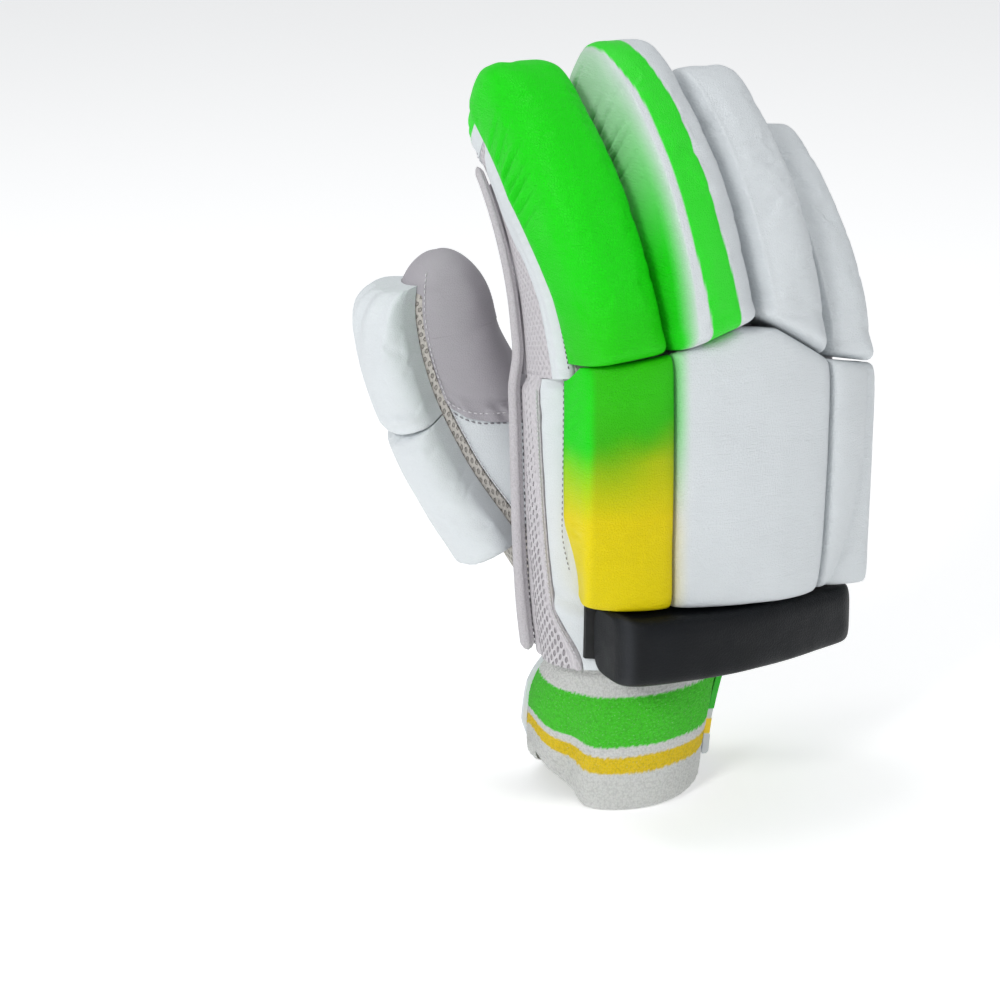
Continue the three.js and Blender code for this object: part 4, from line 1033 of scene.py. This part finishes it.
def indexWelt():
    # a strip of white leather on the ledge beside the first roll, puckered towards the knuckle
    f, end = fingers[0], fingerSizes["stallEnd"]
    t = spread(0, end, weltLook["rows"])[:, None]
    across = spread(0, 1, weltLook["columns"])[None, :]
    high = 180 + weltLook["over"] + ledgeTurn(f, t)
    angle = np.radians(lerp(high - weltLook["wide"] * smooth(end + 0.03, 0.68, t), high, across))
    pucker = np.sin(t * fingerSizes["length"] * 1.3 + 2 * across) * (0.2 + 0.5 * smooth(0.14, 0.0, t))
    pucker = pucker * bell(across - 0.6, 0.4)
    grow = weltLook["height"] * (1 - np.abs(2 * across - 1) ** 5) + 0.25 + 0.45 * pucker
    grow = grow - 0.45 * bell(across - 0.22, 0.08)
    addWall("indexWelt", fingerPoint(f, angle, t, grow), fingerPoint(f, angle, t, 0.1), colours["white"],
            softLeather, extra=True)


indexWelt()
for f in fingers:
    fingerStall(f)
    fingerTongue(f)
    fingerCap(f)
    fingerRoll(f)
print("fingers made")


# thumb
thumbLook = dict(rows=120, sink=1.2, aspect=1.2, lap=0.004)


def thumbStart(angle, low, high):
    # share along the thumb where each column leaves the hand, a little inside it
    t = spread(low, high, 240)[:, None]
    inside = insideHand(thumbPoint(angle, t)) < 1
    last = np.where(inside.any(axis=0), inside.shape[0] - 1 - np.argmax(inside[::-1], axis=0), 0)
    start = t[last, 0] - thumbLook["sink"] / thumb["height"]
    return np.maximum(low, np.where(inside.any(axis=0), start, low))[None, :]


def thumbPanel(low, high, columns, first, last, wall, rows, relief=None):
    # a panel between two angles; first and last give its ends along the thumb over its width
    edge = math.degrees(2 * gap / thumb["width"])
    angle = evenAngles(low + edge, high - edge, columns, thumb["power"], thumbLook["aspect"])[None, :]
    across = spread(0, 1, columns)[None, :]
    begin = np.maximum(thumbStart(angle, first(across).min(), last(across).max()), first(across))
    t = lerp(np.minimum(begin, last(across) - 0.01), last(across), spread(0, 1, rows)[:, None])
    grow = relief(np.degrees(angle), t) if relief else 0.0
    return thumbPoint(angle, t, grow), thumbPoint(angle, t, -wall), angle, t


def even(value):
    return lambda across: value * np.ones(across.shape)


def seamAt(across, lap=0.0):
    return lerp(thumb["seamOut"], thumb["seamIn"], across ** 0.6) + lap


def thumbFolds(degrees, t):
    # soft creases across the inner side, gathered towards the seam
    above = (t - seamAt(np.clip((degrees - thumb["leather"]) / 160, 0, 1))) * thumb["height"]
    gather = np.sin(degrees * 0.42 + 1.2 * np.sin(degrees * 0.11)) * bell(above - 1.5, 4.5)
    fold = bell(above - 5 - 0.05 * (degrees - 90), 1.8) * bell(degrees - 120, 40)
    fold = fold + bell(above - 11 + 0.04 * degrees, 2.2) * bell(degrees - 100, 30)
    waves = ripple(degrees * 0.35, t * thumb["height"], 24, 5)
    return 0.5 + 0.34 * gather - 0.9 * fold + 0.35 * waves


def patchFold(degrees, t):
    # one slanting fold across the white patch
    off = (t - 0.3 - 0.0012 * (degrees - 120)) * thumb["height"]
    return 0.9 * bell(off, 4) * smooth(90, 130, degrees) - 0.3


def thumbSides():
    # the wide mesh runs on over the tip; the strip beside it carries the rolls
    side, leather, end = thumb["sideMesh"], thumb["leather"], thumb["end"]
    lap, wall = thumbLook["lap"], walls["leather"]
    outer, inner, angle, t = thumbPanel(thumb["palmMesh"], side, 90, even(0.02), even(1), walls["mesh"],
                                        150)
    addWall("thumbPalmMesh", outer, inner, colours["beige"], hexMesh)
    outer, inner, angle, t = thumbPanel(side, leather, 70, even(0.1), even(0.955), walls["mesh"], 130)
    addWall("thumbSideMesh", outer, inner, colours["beige"] * 0.94, hexMesh)
    outer, inner, angle, t = thumbPanel(leather, end, 110, lambda s: seamAt(s, -lap),
                                        even(thumb["stallEnd"] + lap), wall, 110, thumbFolds)
    addWall("thumbLeather", outer, inner, colours["lilac"], lilacLeather)
    outer, inner, angle, t = thumbPanel(leather, end, 110, even(0.12), lambda s: seamAt(s, lap), wall, 110,
                                        patchFold)
    lower = smooth(150, 162, np.degrees(angle) - 90 * (t - 0.3)) * smooth(0.36, 0.3, t)
    addWall("thumbPatch", outer, inner, lerp(colours["white"], colours["lilac"], lower[..., None]),
            softLeather)


def thumbCap():
    # the domed tip on the inner side; above the mesh strip it closes over the tip
    domeFrom = 0.90
    dome = domeFrom + (1 - domeFrom) * np.sin(spread(0, math.pi / 2, 40))
    t = np.concatenate([spread(thumb["stallEnd"], domeFrom, 20)[:-1], dome])[:, None]
    first = lerp(thumb["leather"], thumb["sideMesh"], smooth(0.925, 0.955, t))
    angle = np.radians(lerp(first, thumb["end"], spread(0, 1, 140)[None, :]))
    grow = 0.5 + 0.25 * ripple(np.degrees(angle) * 0.35, t * thumb["height"], 20, 6) * smooth(1, 0.93, t)
    inner = thumbPoint(angle, np.minimum(t, 1 - walls["leather"] / thumb["height"]), -walls["leather"])
    addWall("thumbTipCap", thumbPoint(angle, t, grow), inner, colours["lilac"], lilacLeather)


thumbRollLook = dict(rows=120, columns=90, foot=0.72, footReach=4.5, power=5, inset=10, cap=1.0,
                     jointDepth=0.6)


def thumbRoll(name, low, high, tipEnd):
    # a crowned bar on the thumb's outer side, both ends rounded: gathered at the thumb's tip and
    # creased at the joint between the two rolls
    v = (1 - np.cos(spread(0, math.pi, thumbRollLook["rows"])))[:, None] / 2
    u = np.sin(spread(-math.pi / 2, math.pi / 2, thumbRollLook["columns"]))[None, :]
    t, span = lerp(low, high, v), (high - low) * thumb["height"]
    end = np.clip(np.minimum(v, 1 - v) * span / thumbRollLook["footReach"], 0, 1)
    close = lerp(thumbRollLook["foot"], 1, np.sqrt(1 - (1 - end) ** 2))
    angle = np.radians(lerp(thumb["sideMesh"], thumb["leather"] - thumbRollLook["inset"], (u + 1) / 2))
    crown = (1 - np.abs(u) ** thumbRollLook["power"]) ** (1 / thumbRollLook["power"])
    grow = thumb["roll"] * close * crown + walls["leather"] * (crown * 0.8 + 0.2)
    fromTip, fromJoint = (1 - v) * span, (v if tipEnd else 1 - v) * span
    fan = np.sin(u * 13 + 1.2 + 0.08 * fromTip) * bell(fromTip - 4, 8) * smooth(1.5, 0.5, np.abs(u - 0.5))
    joint = np.sin(fromJoint * 1.3 + u * 1.5) * bell(fromJoint - 3, 4) * smooth(-0.2, 0.8, u)
    folds = fan * tipEnd + thumbRollLook["jointDepth"] * joint * (1 if tipEnd else 0.35)
    grow = grow + crown * (folds + 0.2 * ripple(u * 16, t * thumb["height"], 20, 7))
    outer = filled(thumbPoint(angle, t, seatGap + grow), thumbRollLook["cap"])
    addWall(name, outer, thumbPoint(angle, t, seatGap), colours["white"], softLeather, fill=0.8, sharp=70)


thumbSides()
thumbCap()
thumbRoll("thumbTipRoll", thumb["rollJoint"], thumb["rollHigh"], True)
thumbRoll("thumbBaseRoll", thumb["rollLow"], thumb["rollJoint"] - 2 * gap / thumb["height"], False)
print("thumb made")


# back pads
padLook = dict(stand=24, thumbSide=18.5, overhang=1, rows=120, columns=110, slant=6.5, power=15, lift=0.9)


def backPad(name, low, high, overhang, material, paintIt, slot=None, slant=0.0, crown=0.07):
    # a box whose edges are rounded both ways: height is the product of two rounded-square arcs
    left, right = low + gap / 2, high - gap / 2 + overhang
    powerX = 3.4 + 0.18 * (right - left)
    across = evenAngles(180, 0, padLook["columns"], powerX, (right - left) / 48)[None, :]
    rise = evenAngles(180, 0, padLook["rows"], padLook["power"], 2.0)[:, None]
    (cx, qx), (cz, qz) = squircle(across, powerX), squircle(rise, padLook["power"])
    u, v = (1 + cx) / 2, (1 + cz) / 2
    share = qx * qz
    x = lerp(left, right, u)
    bottom, top = lineHeight("padLow", x), lineHeight("knuckle", x)
    under = slant * smooth(0.45, 0.0, v) * (1 - u) ** 2
    pucker = 0.2 * np.sin(v * 95 + 1.4 * np.sin(v * 23)) * (cx < 0)
    pucker = pucker * smooth(0.75, 0.45, qx) * smooth(0.05, 0.35, qx)
    back = handFace("back", x, lerp(bottom, top, v)) - seatGap
    full = lerp(padLook["thumbSide"], padLook["stand"], smooth(slots[0] - 10, slots[2] + 8, x))
    stand = full * (1 - crown * (2 * u - 1) ** 2) * (1 - 0.03 * (2 * v - 1) ** 2)
    stand = (stand + 0.22 * ripple(x, v * 90, 24, 3) + 0.05 * ripple(x * 0.4, v * 90, 4, 5)) * share
    limit = np.minimum(leaningHeight("knuckle", x, back - stand), top) - gap
    wall = np.minimum(limit, leaningHeight("rim", x, back) - seatGap)
    z = lerp(bottom, lerp(wall, limit, np.clip(share * 1.6, 0, 1)), v)
    outer = filled(stack(x + under * (1 - share) - pucker, back - stand - padLook["lift"], z))
    inner = stack(x + under, back, lerp(bottom, wall, v))
    addWall(name, outer, inner, paintIt(x, z, share, u), material, slot, fill=0.9, sharp=75)


def indexPadPaint(x, z, share, u):
    # green above, yellow below with a soft slanting fade; the front face carries painted shade: a darker
    # yellow, and olive on the green that deepens lower down
    face = smooth(0.02, 0.09, u) * smooth(0.5, 0.9, share)
    fade = smooth(117, 149, z - 0.3 * (x - slots[0]) - 3 * face + 1.5 * ripple(x, z, 16, 4))
    low = lerp(colours["yellow"], colours["shadedYellow"], face[..., None])
    high = lerp(colours["green"], colours["olive"], (face * (0.55 + 0.4 * smooth(172, 140, z)))[..., None])
    return lerp(low, high, fade[..., None])


def centrePadPaint(x, z, share, u):
    # painted shade along the left edge beside the index pad, tinted green higher up and yellow lower down
    # as painted reflection of that pad
    edge = smooth(0.07, 0.0, u)
    tint = lerp(colours["white"], colours["green"], (edge * smooth(118, 160, z) * 0.6)[..., None])
    return lerp(tint, colours["yellow"], (edge * smooth(132, 112, z) * 0.22)[..., None])


def plainPaint(x, z, share, u):
    return colours["white"]


backPad("indexBackPad", slots[0], slots[1], 0, greenLeather, indexPadPaint, "green_yellow_leather",
        padLook["slant"], 0.1)
backPad("centreBackPad", slots[1], slots[3], 0, whiteLeather, centrePadPaint)
backPad("littleBackPad", slots[3], slots[4], padLook["overhang"], whiteLeather, plainPaint)
print("pads made")


# wrist roll
rollBar = dict(height=27, depth=24, length=103, inset=11, backing=1.5, tab=4, share=0.66, rows=180,
               columns=141, power=4.2, slim=0.85, proud=2.5)
rollLeft = slots[0] + rollBar["inset"]


def rollTop(x):
    return lineHeight("padLow", x) - 2 * gap


def wristRoll():
    # a rounded-square bar along the heel, slimmer to the right, on a smooth line behind it
    length = rollBar["length"]
    share = (1 - np.cos(spread(0, math.pi, rollBar["rows"])))[:, None] / 2
    turn = evenAngles(0, 360, rollBar["columns"], rollBar["power"], 0.9)[None, :]
    x = lerp(rollLeft - rollBar["proud"], rollLeft + length, share)
    away = np.minimum(share, 1 - share) * length
    corner = lambda low, reach: lerp(low, 1, np.sqrt(1 - (1 - np.clip(away / reach, 0, 1)) ** 2))
    end, front = corner(0.86, 3.5), corner(0.35, 8.0)
    height, depth = (rollBar[key] * lerp(1, rollBar["slim"], share) for key in ("height", "depth"))
    level = rollTop(x) - height / 2
    even3 = lambda y: np.polynomial.Polynomial.fit(x[:, 0], y[:, 0], 3)(x)
    back = np.min([handFace("back", x, level + k * height / 2) for k in (-1, 0, 1)], axis=0)
    back = even3(np.minimum(back, even3(back)) - rollBar["backing"] - 2 * seatGap)
    c, q = (part * np.ones(share.shape) for part in squircle(turn, rollBar["power"]))
    puff = 0.25 * ripple(x, turn * 9, 34, 4) * smooth(1.0, 0.8, share)
    y = back - depth / 2 + c * (depth * np.where(c < 0, front, end) / 2 + puff * (c < 0))
    z = level + q * height * end / 2 - 0.9 * bell(c + 0.1, 0.5) * (q > 0.6) * smooth(0, 0.06, share)
    tint = colours["charcoal"] * (1 + 0.12 * ripple(x, turn * 10, 17, 6))[..., None]
    # a lighter band just in from the left end: a painted highlight
    paintedEndHighlight = 0.35 * bell(share * length - 2.2, 1.6)
    tint = lerp(tint, colours["dark"] * 1.6, paintedEndHighlight[..., None])
    addPiece("wristRoll", tubeMesh("wristRoll", stack(x, y, z), tint), charcoalLeather)


def wristBacking():
    # a flat tab between the roll and the back of the hand
    x = spread(rollLeft - rollBar["tab"], rollLeft + rollBar["length"] * rollBar["share"], 110)[None, :]
    z = rollTop(x) - rollBar["height"] * (1 - spread(0.15, 0.9, 36)[:, None])
    y = handFace("back", x, z) - seatGap
    outer = stack(x, y - rollBar["backing"] + 0.15 * ripple(x, z, 5, 2), z)
    addWall("wristRollBacking", outer, stack(x, y, z), colours["black"], webbing)


wristRoll()
wristBacking()


# cuff, strap and loop
cuffLook = dict(rows=130, columns=340, fuzz=0.16, edge=0.35, hem=1.1,
                bands=[(15.5, 22.0, "cuffYellow"), (26.0, 45.5, "cuffGreen")])


def cuffBands(level):
    # knitted stripes with slightly ragged edges
    edge, tint = cuffLook["edge"], colours["cuffWhite"]
    for low, high, name in cuffLook["bands"]:
        ragged = level + 0.45 * ripple(np.arange(level.shape[1]) * 0.6, level, 2.1, 3)
        inside = smooth(low - edge, low + edge, ragged) * smooth(high + edge, high - edge, ragged)
        tint = lerp(tint, colours[name], inside[..., None])
    return tint


def knitCuff():
    # the terry tube, uneven by a fraction of a millimetre, with its hem turned in
    angle = spread(0, 2 * math.pi, cuffLook["columns"])[None, :]
    up = spread(0, 1, cuffLook["rows"])[:, None]
    v = up * cuff["height"] * np.ones(angle.shape)
    around = angle * cuff["width"] / 2 * np.ones(up.shape)
    grow = cuffLook["fuzz"] * (ripple(around, v, 2.3, 1) + ripple(around, v, 1.5, 2))
    grow = grow - cuffLook["hem"] * bell(v, 1.2) + 0.5 * ripple(np.cos(angle) * 30, v, 26, 3)
    grow[:, -1] = grow[:, 0]
    addWall("knitCuff", cuffPoint(angle, up, grow), cuffPoint(angle, up, -cuff["wall"]), cuffBands(v),
            cuffKnit,
            mapped=np.stack([around, v], -1))


strapLook = dict(low=7, height=42, start=-24, end=142, length=92, rows=84, columns=240, border=0.5,
                 field=8, sunk=0.55, block=dict(low=25.2, high=46.2, end=34),
                 bar=dict(low=15.2, high=21.8, end=26))


def wristStrap():
    # a moulded band whose free end narrows to a point; a raised border round a sunk field
    across = spread(0, 1, strapLook["columns"])[None, :]
    v = spread(-0.5, 0.5, strapLook["rows"])[:, None]
    angle = np.radians(lerp(strapLook["start"], strapLook["end"], across))
    height = strapLook["height"] * np.minimum(1, 0.42 + (1 - across) * 6)
    z = strapLook["low"] + strapLook["height"] / 2 + v * height
    along = across * strapLook["length"]
    inset = np.minimum(np.minimum((0.5 - np.abs(v)) * height, strapLook["length"] - along), along + 9)
    border = strapLook["border"] * smooth(0.2, 1.0, inset) - 0.4 * smooth(0.9, 0.0, inset)
    field = strapLook["field"]
    grow = walls["strap"] + border - strapLook["sunk"] * smooth(field - 0.4, field + 0.4, inset)

    def printed(mark, along):
        ends = smooth(mark["low"], mark["low"] + 0.4, z) * smooth(mark["high"], mark["high"] - 0.4, z)
        return ends * smooth(mark["end"], mark["end"] - 0.4, along)

    block = printed(strapLook["block"], along + np.clip(36 - z, -3, 12) * 0.5)
    bar = printed(strapLook["bar"], along)
    tint = lerp(colours["white"], colours["cuffGreen"] * np.array([0.2, 0.75, 0.3]), block[..., None])
    tint = lerp(tint, colours["cuffYellow"], bar[..., None])
    grow = seatGap + grow + 0.25 * np.maximum(block, bar)
    up = z / cuff["height"]
    addWall("wristStrap", cuffPoint(angle, up, grow), cuffPoint(angle, up, seatGap), tint, strapRubber)


loopLook = dict(turn=-8, top=0.28, low=0.6, bow=9, band=7, rows=70, columns=18)


def strapLoop():
    # a flat band that bows out between the side of the hand and the strap
    turn = math.radians(loopLook["turn"])
    top = handPoint(turn, loopLook["top"], seatGap)
    low = cuffPoint(turn, loopLook["low"], 2 * seatGap + walls["strap"])
    v = spread(0, 1, loopLook["rows"])[:, None]
    w = spread(-0.5, 0.5, loopLook["columns"])[None, :]
    inner = lerp(top, low, v[..., None] * np.ones(w.shape + (1,)))
    inner[..., 0] += loopLook["bow"] * np.sin(math.pi * v) ** 0.8
    inner[..., 1] += w * loopLook["band"]
    outer = inner.copy()
    outer[..., 0] += walls["leather"] * (1 - 0.5 * np.abs(2 * w) ** 4)
    addWall("strapLoop", outer, inner, colours["white"], softLeather)


knitCuff()
wristStrap()
strapLoop()
print("wrist made")


# sewn lines: pale thread on mesh and palm, grey thread on the white and lilac leather
seamLook = dict(inset=3.4, thumbSeam=0.016, tongue=0.85, hems=(4.0, 8.0))


def sewLine(name, point, turn, place, colour, lift=0.1, pitch=sewing["pitch"], size=1.0):
    # stitches along a line of angles in degrees and places on one of the glove's own surfaces
    sewOn(name, lambda g: point(np.radians(turn), place, g + lift), colour, pitch, size)


def onFinger(f):
    return lambda angle, t, grow: fingerPoint(f, angle, t, grow)


def sewHand():
    # beside the index roll, along both side panels and round the palm's hem
    up, line = spread(0.03, 0.97, 160), spread(0.02, 0.78, 160)
    turn = 178.5 + ledgeTurn(fingers[0], line)
    sewLine("rollSeamStitches", onFinger(fingers[0]), turn, line, "dark", 1.1, 1.8, 0.7)
    sewLine("indexRibStitches", handPoint, seamAngle(up) - 1.6, up, "paleThread", 0.7, 1.7)
    sewLine("indexGussetStitches", handPoint, hand["palmIndex"] - 2.4, spread(0.02, 0.97, 160),
            "greyThread")
    sewLine("littleGussetStitches", handPoint, hand["palmLittle"] + 2.4, up, "paleThread")
    sewLine("littleEdgeStitches", handPoint, hand["backLittle"] - 2.2, up, "paleThread", 0.15)
    around = spread(hand["palmLittle"] + 3, hand["palmIndex"] - 3, 200)
    sewLine("palmHemStitches", handPoint, around, 0.028, "paleThread", 0, 2.2)


def sewFingers():
    # two lines beside each tongue's edges and one across the cap's band
    size = seamLook["tongue"]
    for f in fingers:
        t = spread(0.02, tongueLook["end"] - 0.028, 200)
        inset = math.degrees(seamLook["inset"] / (f["width"] / 2))
        inset = inset * np.minimum(1, (tongueLook["end"] - t) / 0.05)
        half = np.maximum(tongueHalf(t) - inset, 1)
        for side, word in ((-1, "Right"), (1, "Left")):
            sewLine(f["name"] + word + "Stitches", onFinger(f), 90 + side * half, t, "paleThread", 0.55,
                    2.2, size)
        band = spread(15, 165, 120)
        sewLine(f["name"] + "BandStitches", onFinger(f), band, fingerSizes["stallEnd"], "paleThread", 0.5,
                2.2, size)


def sewThumb():
    s = spread(0.02, 0.98, 120)
    turn, beside = lerp(thumb["leather"], thumb["end"], s), seamLook["thumbSeam"]
    sewLine("thumbSeamPale", thumbPoint, turn, seamAt(s, beside), "paleThread", 0.6, 2.1)
    sewLine("thumbSeamDark", thumbPoint, turn, seamAt(s, -beside), "greyThread", 0.0, 2.3)
    sewLine("thumbStripStitches", thumbPoint, thumb["leather"] + 3.5, spread(0.3, 0.97, 160), "paleThread",
            0.55, 2.1)
    sewLine("thumbPatchStitches", thumbPoint, thumb["end"] - 4, spread(0.16, 0.8, 160), "paleThread", 0,
            2.2)
    across = spread(thumb["palmMesh"] + 6, thumb["sideMesh"] - 6, 120)
    for k, inset in enumerate(seamLook["hems"]):
        sewLine("thumbMeshHem%d" % k, thumbPoint, across, 0.06 + inset / thumb["height"], "greyThread", 0,
                2.0, 0.8)


def sewPads():
    x = spread(slots[1] + 2, slots[1] + 12, 30)
    top = lineHeight("knuckle", x)
    y = handFace("back", x, top) - padLook["stand"] * 0.55
    sewOn("padTopStitches", lambda g: stack(x, y - g * 0.1, top - 0.1 + g * 0.3), "dark", 1.9)
    low, high = (float(lineHeight(line, slots[0])) for line in ("padLow", "knuckle"))
    z = spread(low + 3, high - 4, 120)
    edge = slots[0] - 0.4 + padLook["slant"] * smooth(115, 80, z)
    back = handFace("back", slots[0] + 1, z) - 1.2
    sewOn("indexPadStitches", lambda g: stack(edge - 0.4 * g, back, z), "greyThread", 2.2, 0.8)


sewHand()
sewFingers()
sewThumb()
sewPads()
print("seams sewn")


# floor, light and camera, in metres
studioLook = dict(floor=25.0, paper=0.99, glow=0.3, sky=(0.96, 0.98, 1), skyStrength=0.46, aim=(0, 0, 0.16),
                  lights=dict(keyLight=((-1.35, -0.75, 1.15), 0.5, 13),
                              fillLight=((0.9, -1.4, 0.9), 0.7, 3.5), topLight=((-0.2, 0.3, 1.7), 0.6, 7)))
photoLook = dict(azimuth=-30, elevation=18, distance=1.0, lens=99, target=(0.003, 0, 0.14),
                 pixel=(628, 428))


def softLight(name, place, size, power):
    light = bpy.data.lights.new(name, "AREA")
    light.shape, light.size, light.energy = "DISK", size, power
    lamp = bpy.data.objects.new(name, light)
    bpy.context.scene.collection.objects.link(lamp)
    lamp.location = place
    lamp.rotation_euler = (Vector(studioLook["aim"]) - Vector(place)).to_track_quat("-Z", "Y").to_euler()


def studio():
    floor = bpy.data.meshes.new("floor")
    size = studioLook["floor"]
    floor.from_pydata([(-size, -size, 0), (size, -size, 0), (size, size, 0), (-size, size, 0)], [],
                      [(0, 1, 2, 3)])
    g = Graph("floorPaper", Roughness=0.9, Base_Color=(*[studioLook["paper"]] * 3, 1),
              Emission_Color=(1, 1, 1, 1), Emission_Strength=studioLook["glow"])
    floor.materials.append(g.material)
    paper = bpy.data.objects.new("floor", floor)
    bpy.context.scene.collection.objects.link(paper)
    paper.location.z = -0.0005
    paper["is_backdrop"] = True
    world = bpy.data.worlds.new("studio")
    bpy.context.scene.world = world
    world.use_nodes = True
    sky = world.node_tree.nodes["Background"].inputs
    sky["Color"].default_value = (*studioLook["sky"], 1)
    sky["Strength"].default_value = studioLook["skyStrength"]
    bpy.context.scene.view_settings.view_transform = "Standard"
    for name, values in studioLook["lights"].items():
        softLight(name, *values)


def photoCamera():
    az, el = math.radians(photoLook["azimuth"]), math.radians(photoLook["elevation"])
    away = Vector((math.sin(az) * math.cos(el), -math.cos(az) * math.cos(el), math.sin(el)))
    data = bpy.data.cameras.new("camera")
    data.lens, data.sensor_width = photoLook["lens"], 36
    data.shift_x = (500 - photoLook["pixel"][0]) / 1000
    data.shift_y = (photoLook["pixel"][1] - 500) / 1000
    data.clip_start = 0.05
    camera = bpy.data.objects.new("camera", data)
    bpy.context.scene.collection.objects.link(camera)
    camera.location = Vector(photoLook["target"]) + away * photoLook["distance"]
    camera.rotation_euler = (-away).to_track_quat("-Z", "Y").to_euler()
    bpy.context.scene.camera = camera


studio()
photoCamera()
print("studio made")
{"cad": cadBox, "visual": [list(corner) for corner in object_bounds()]}
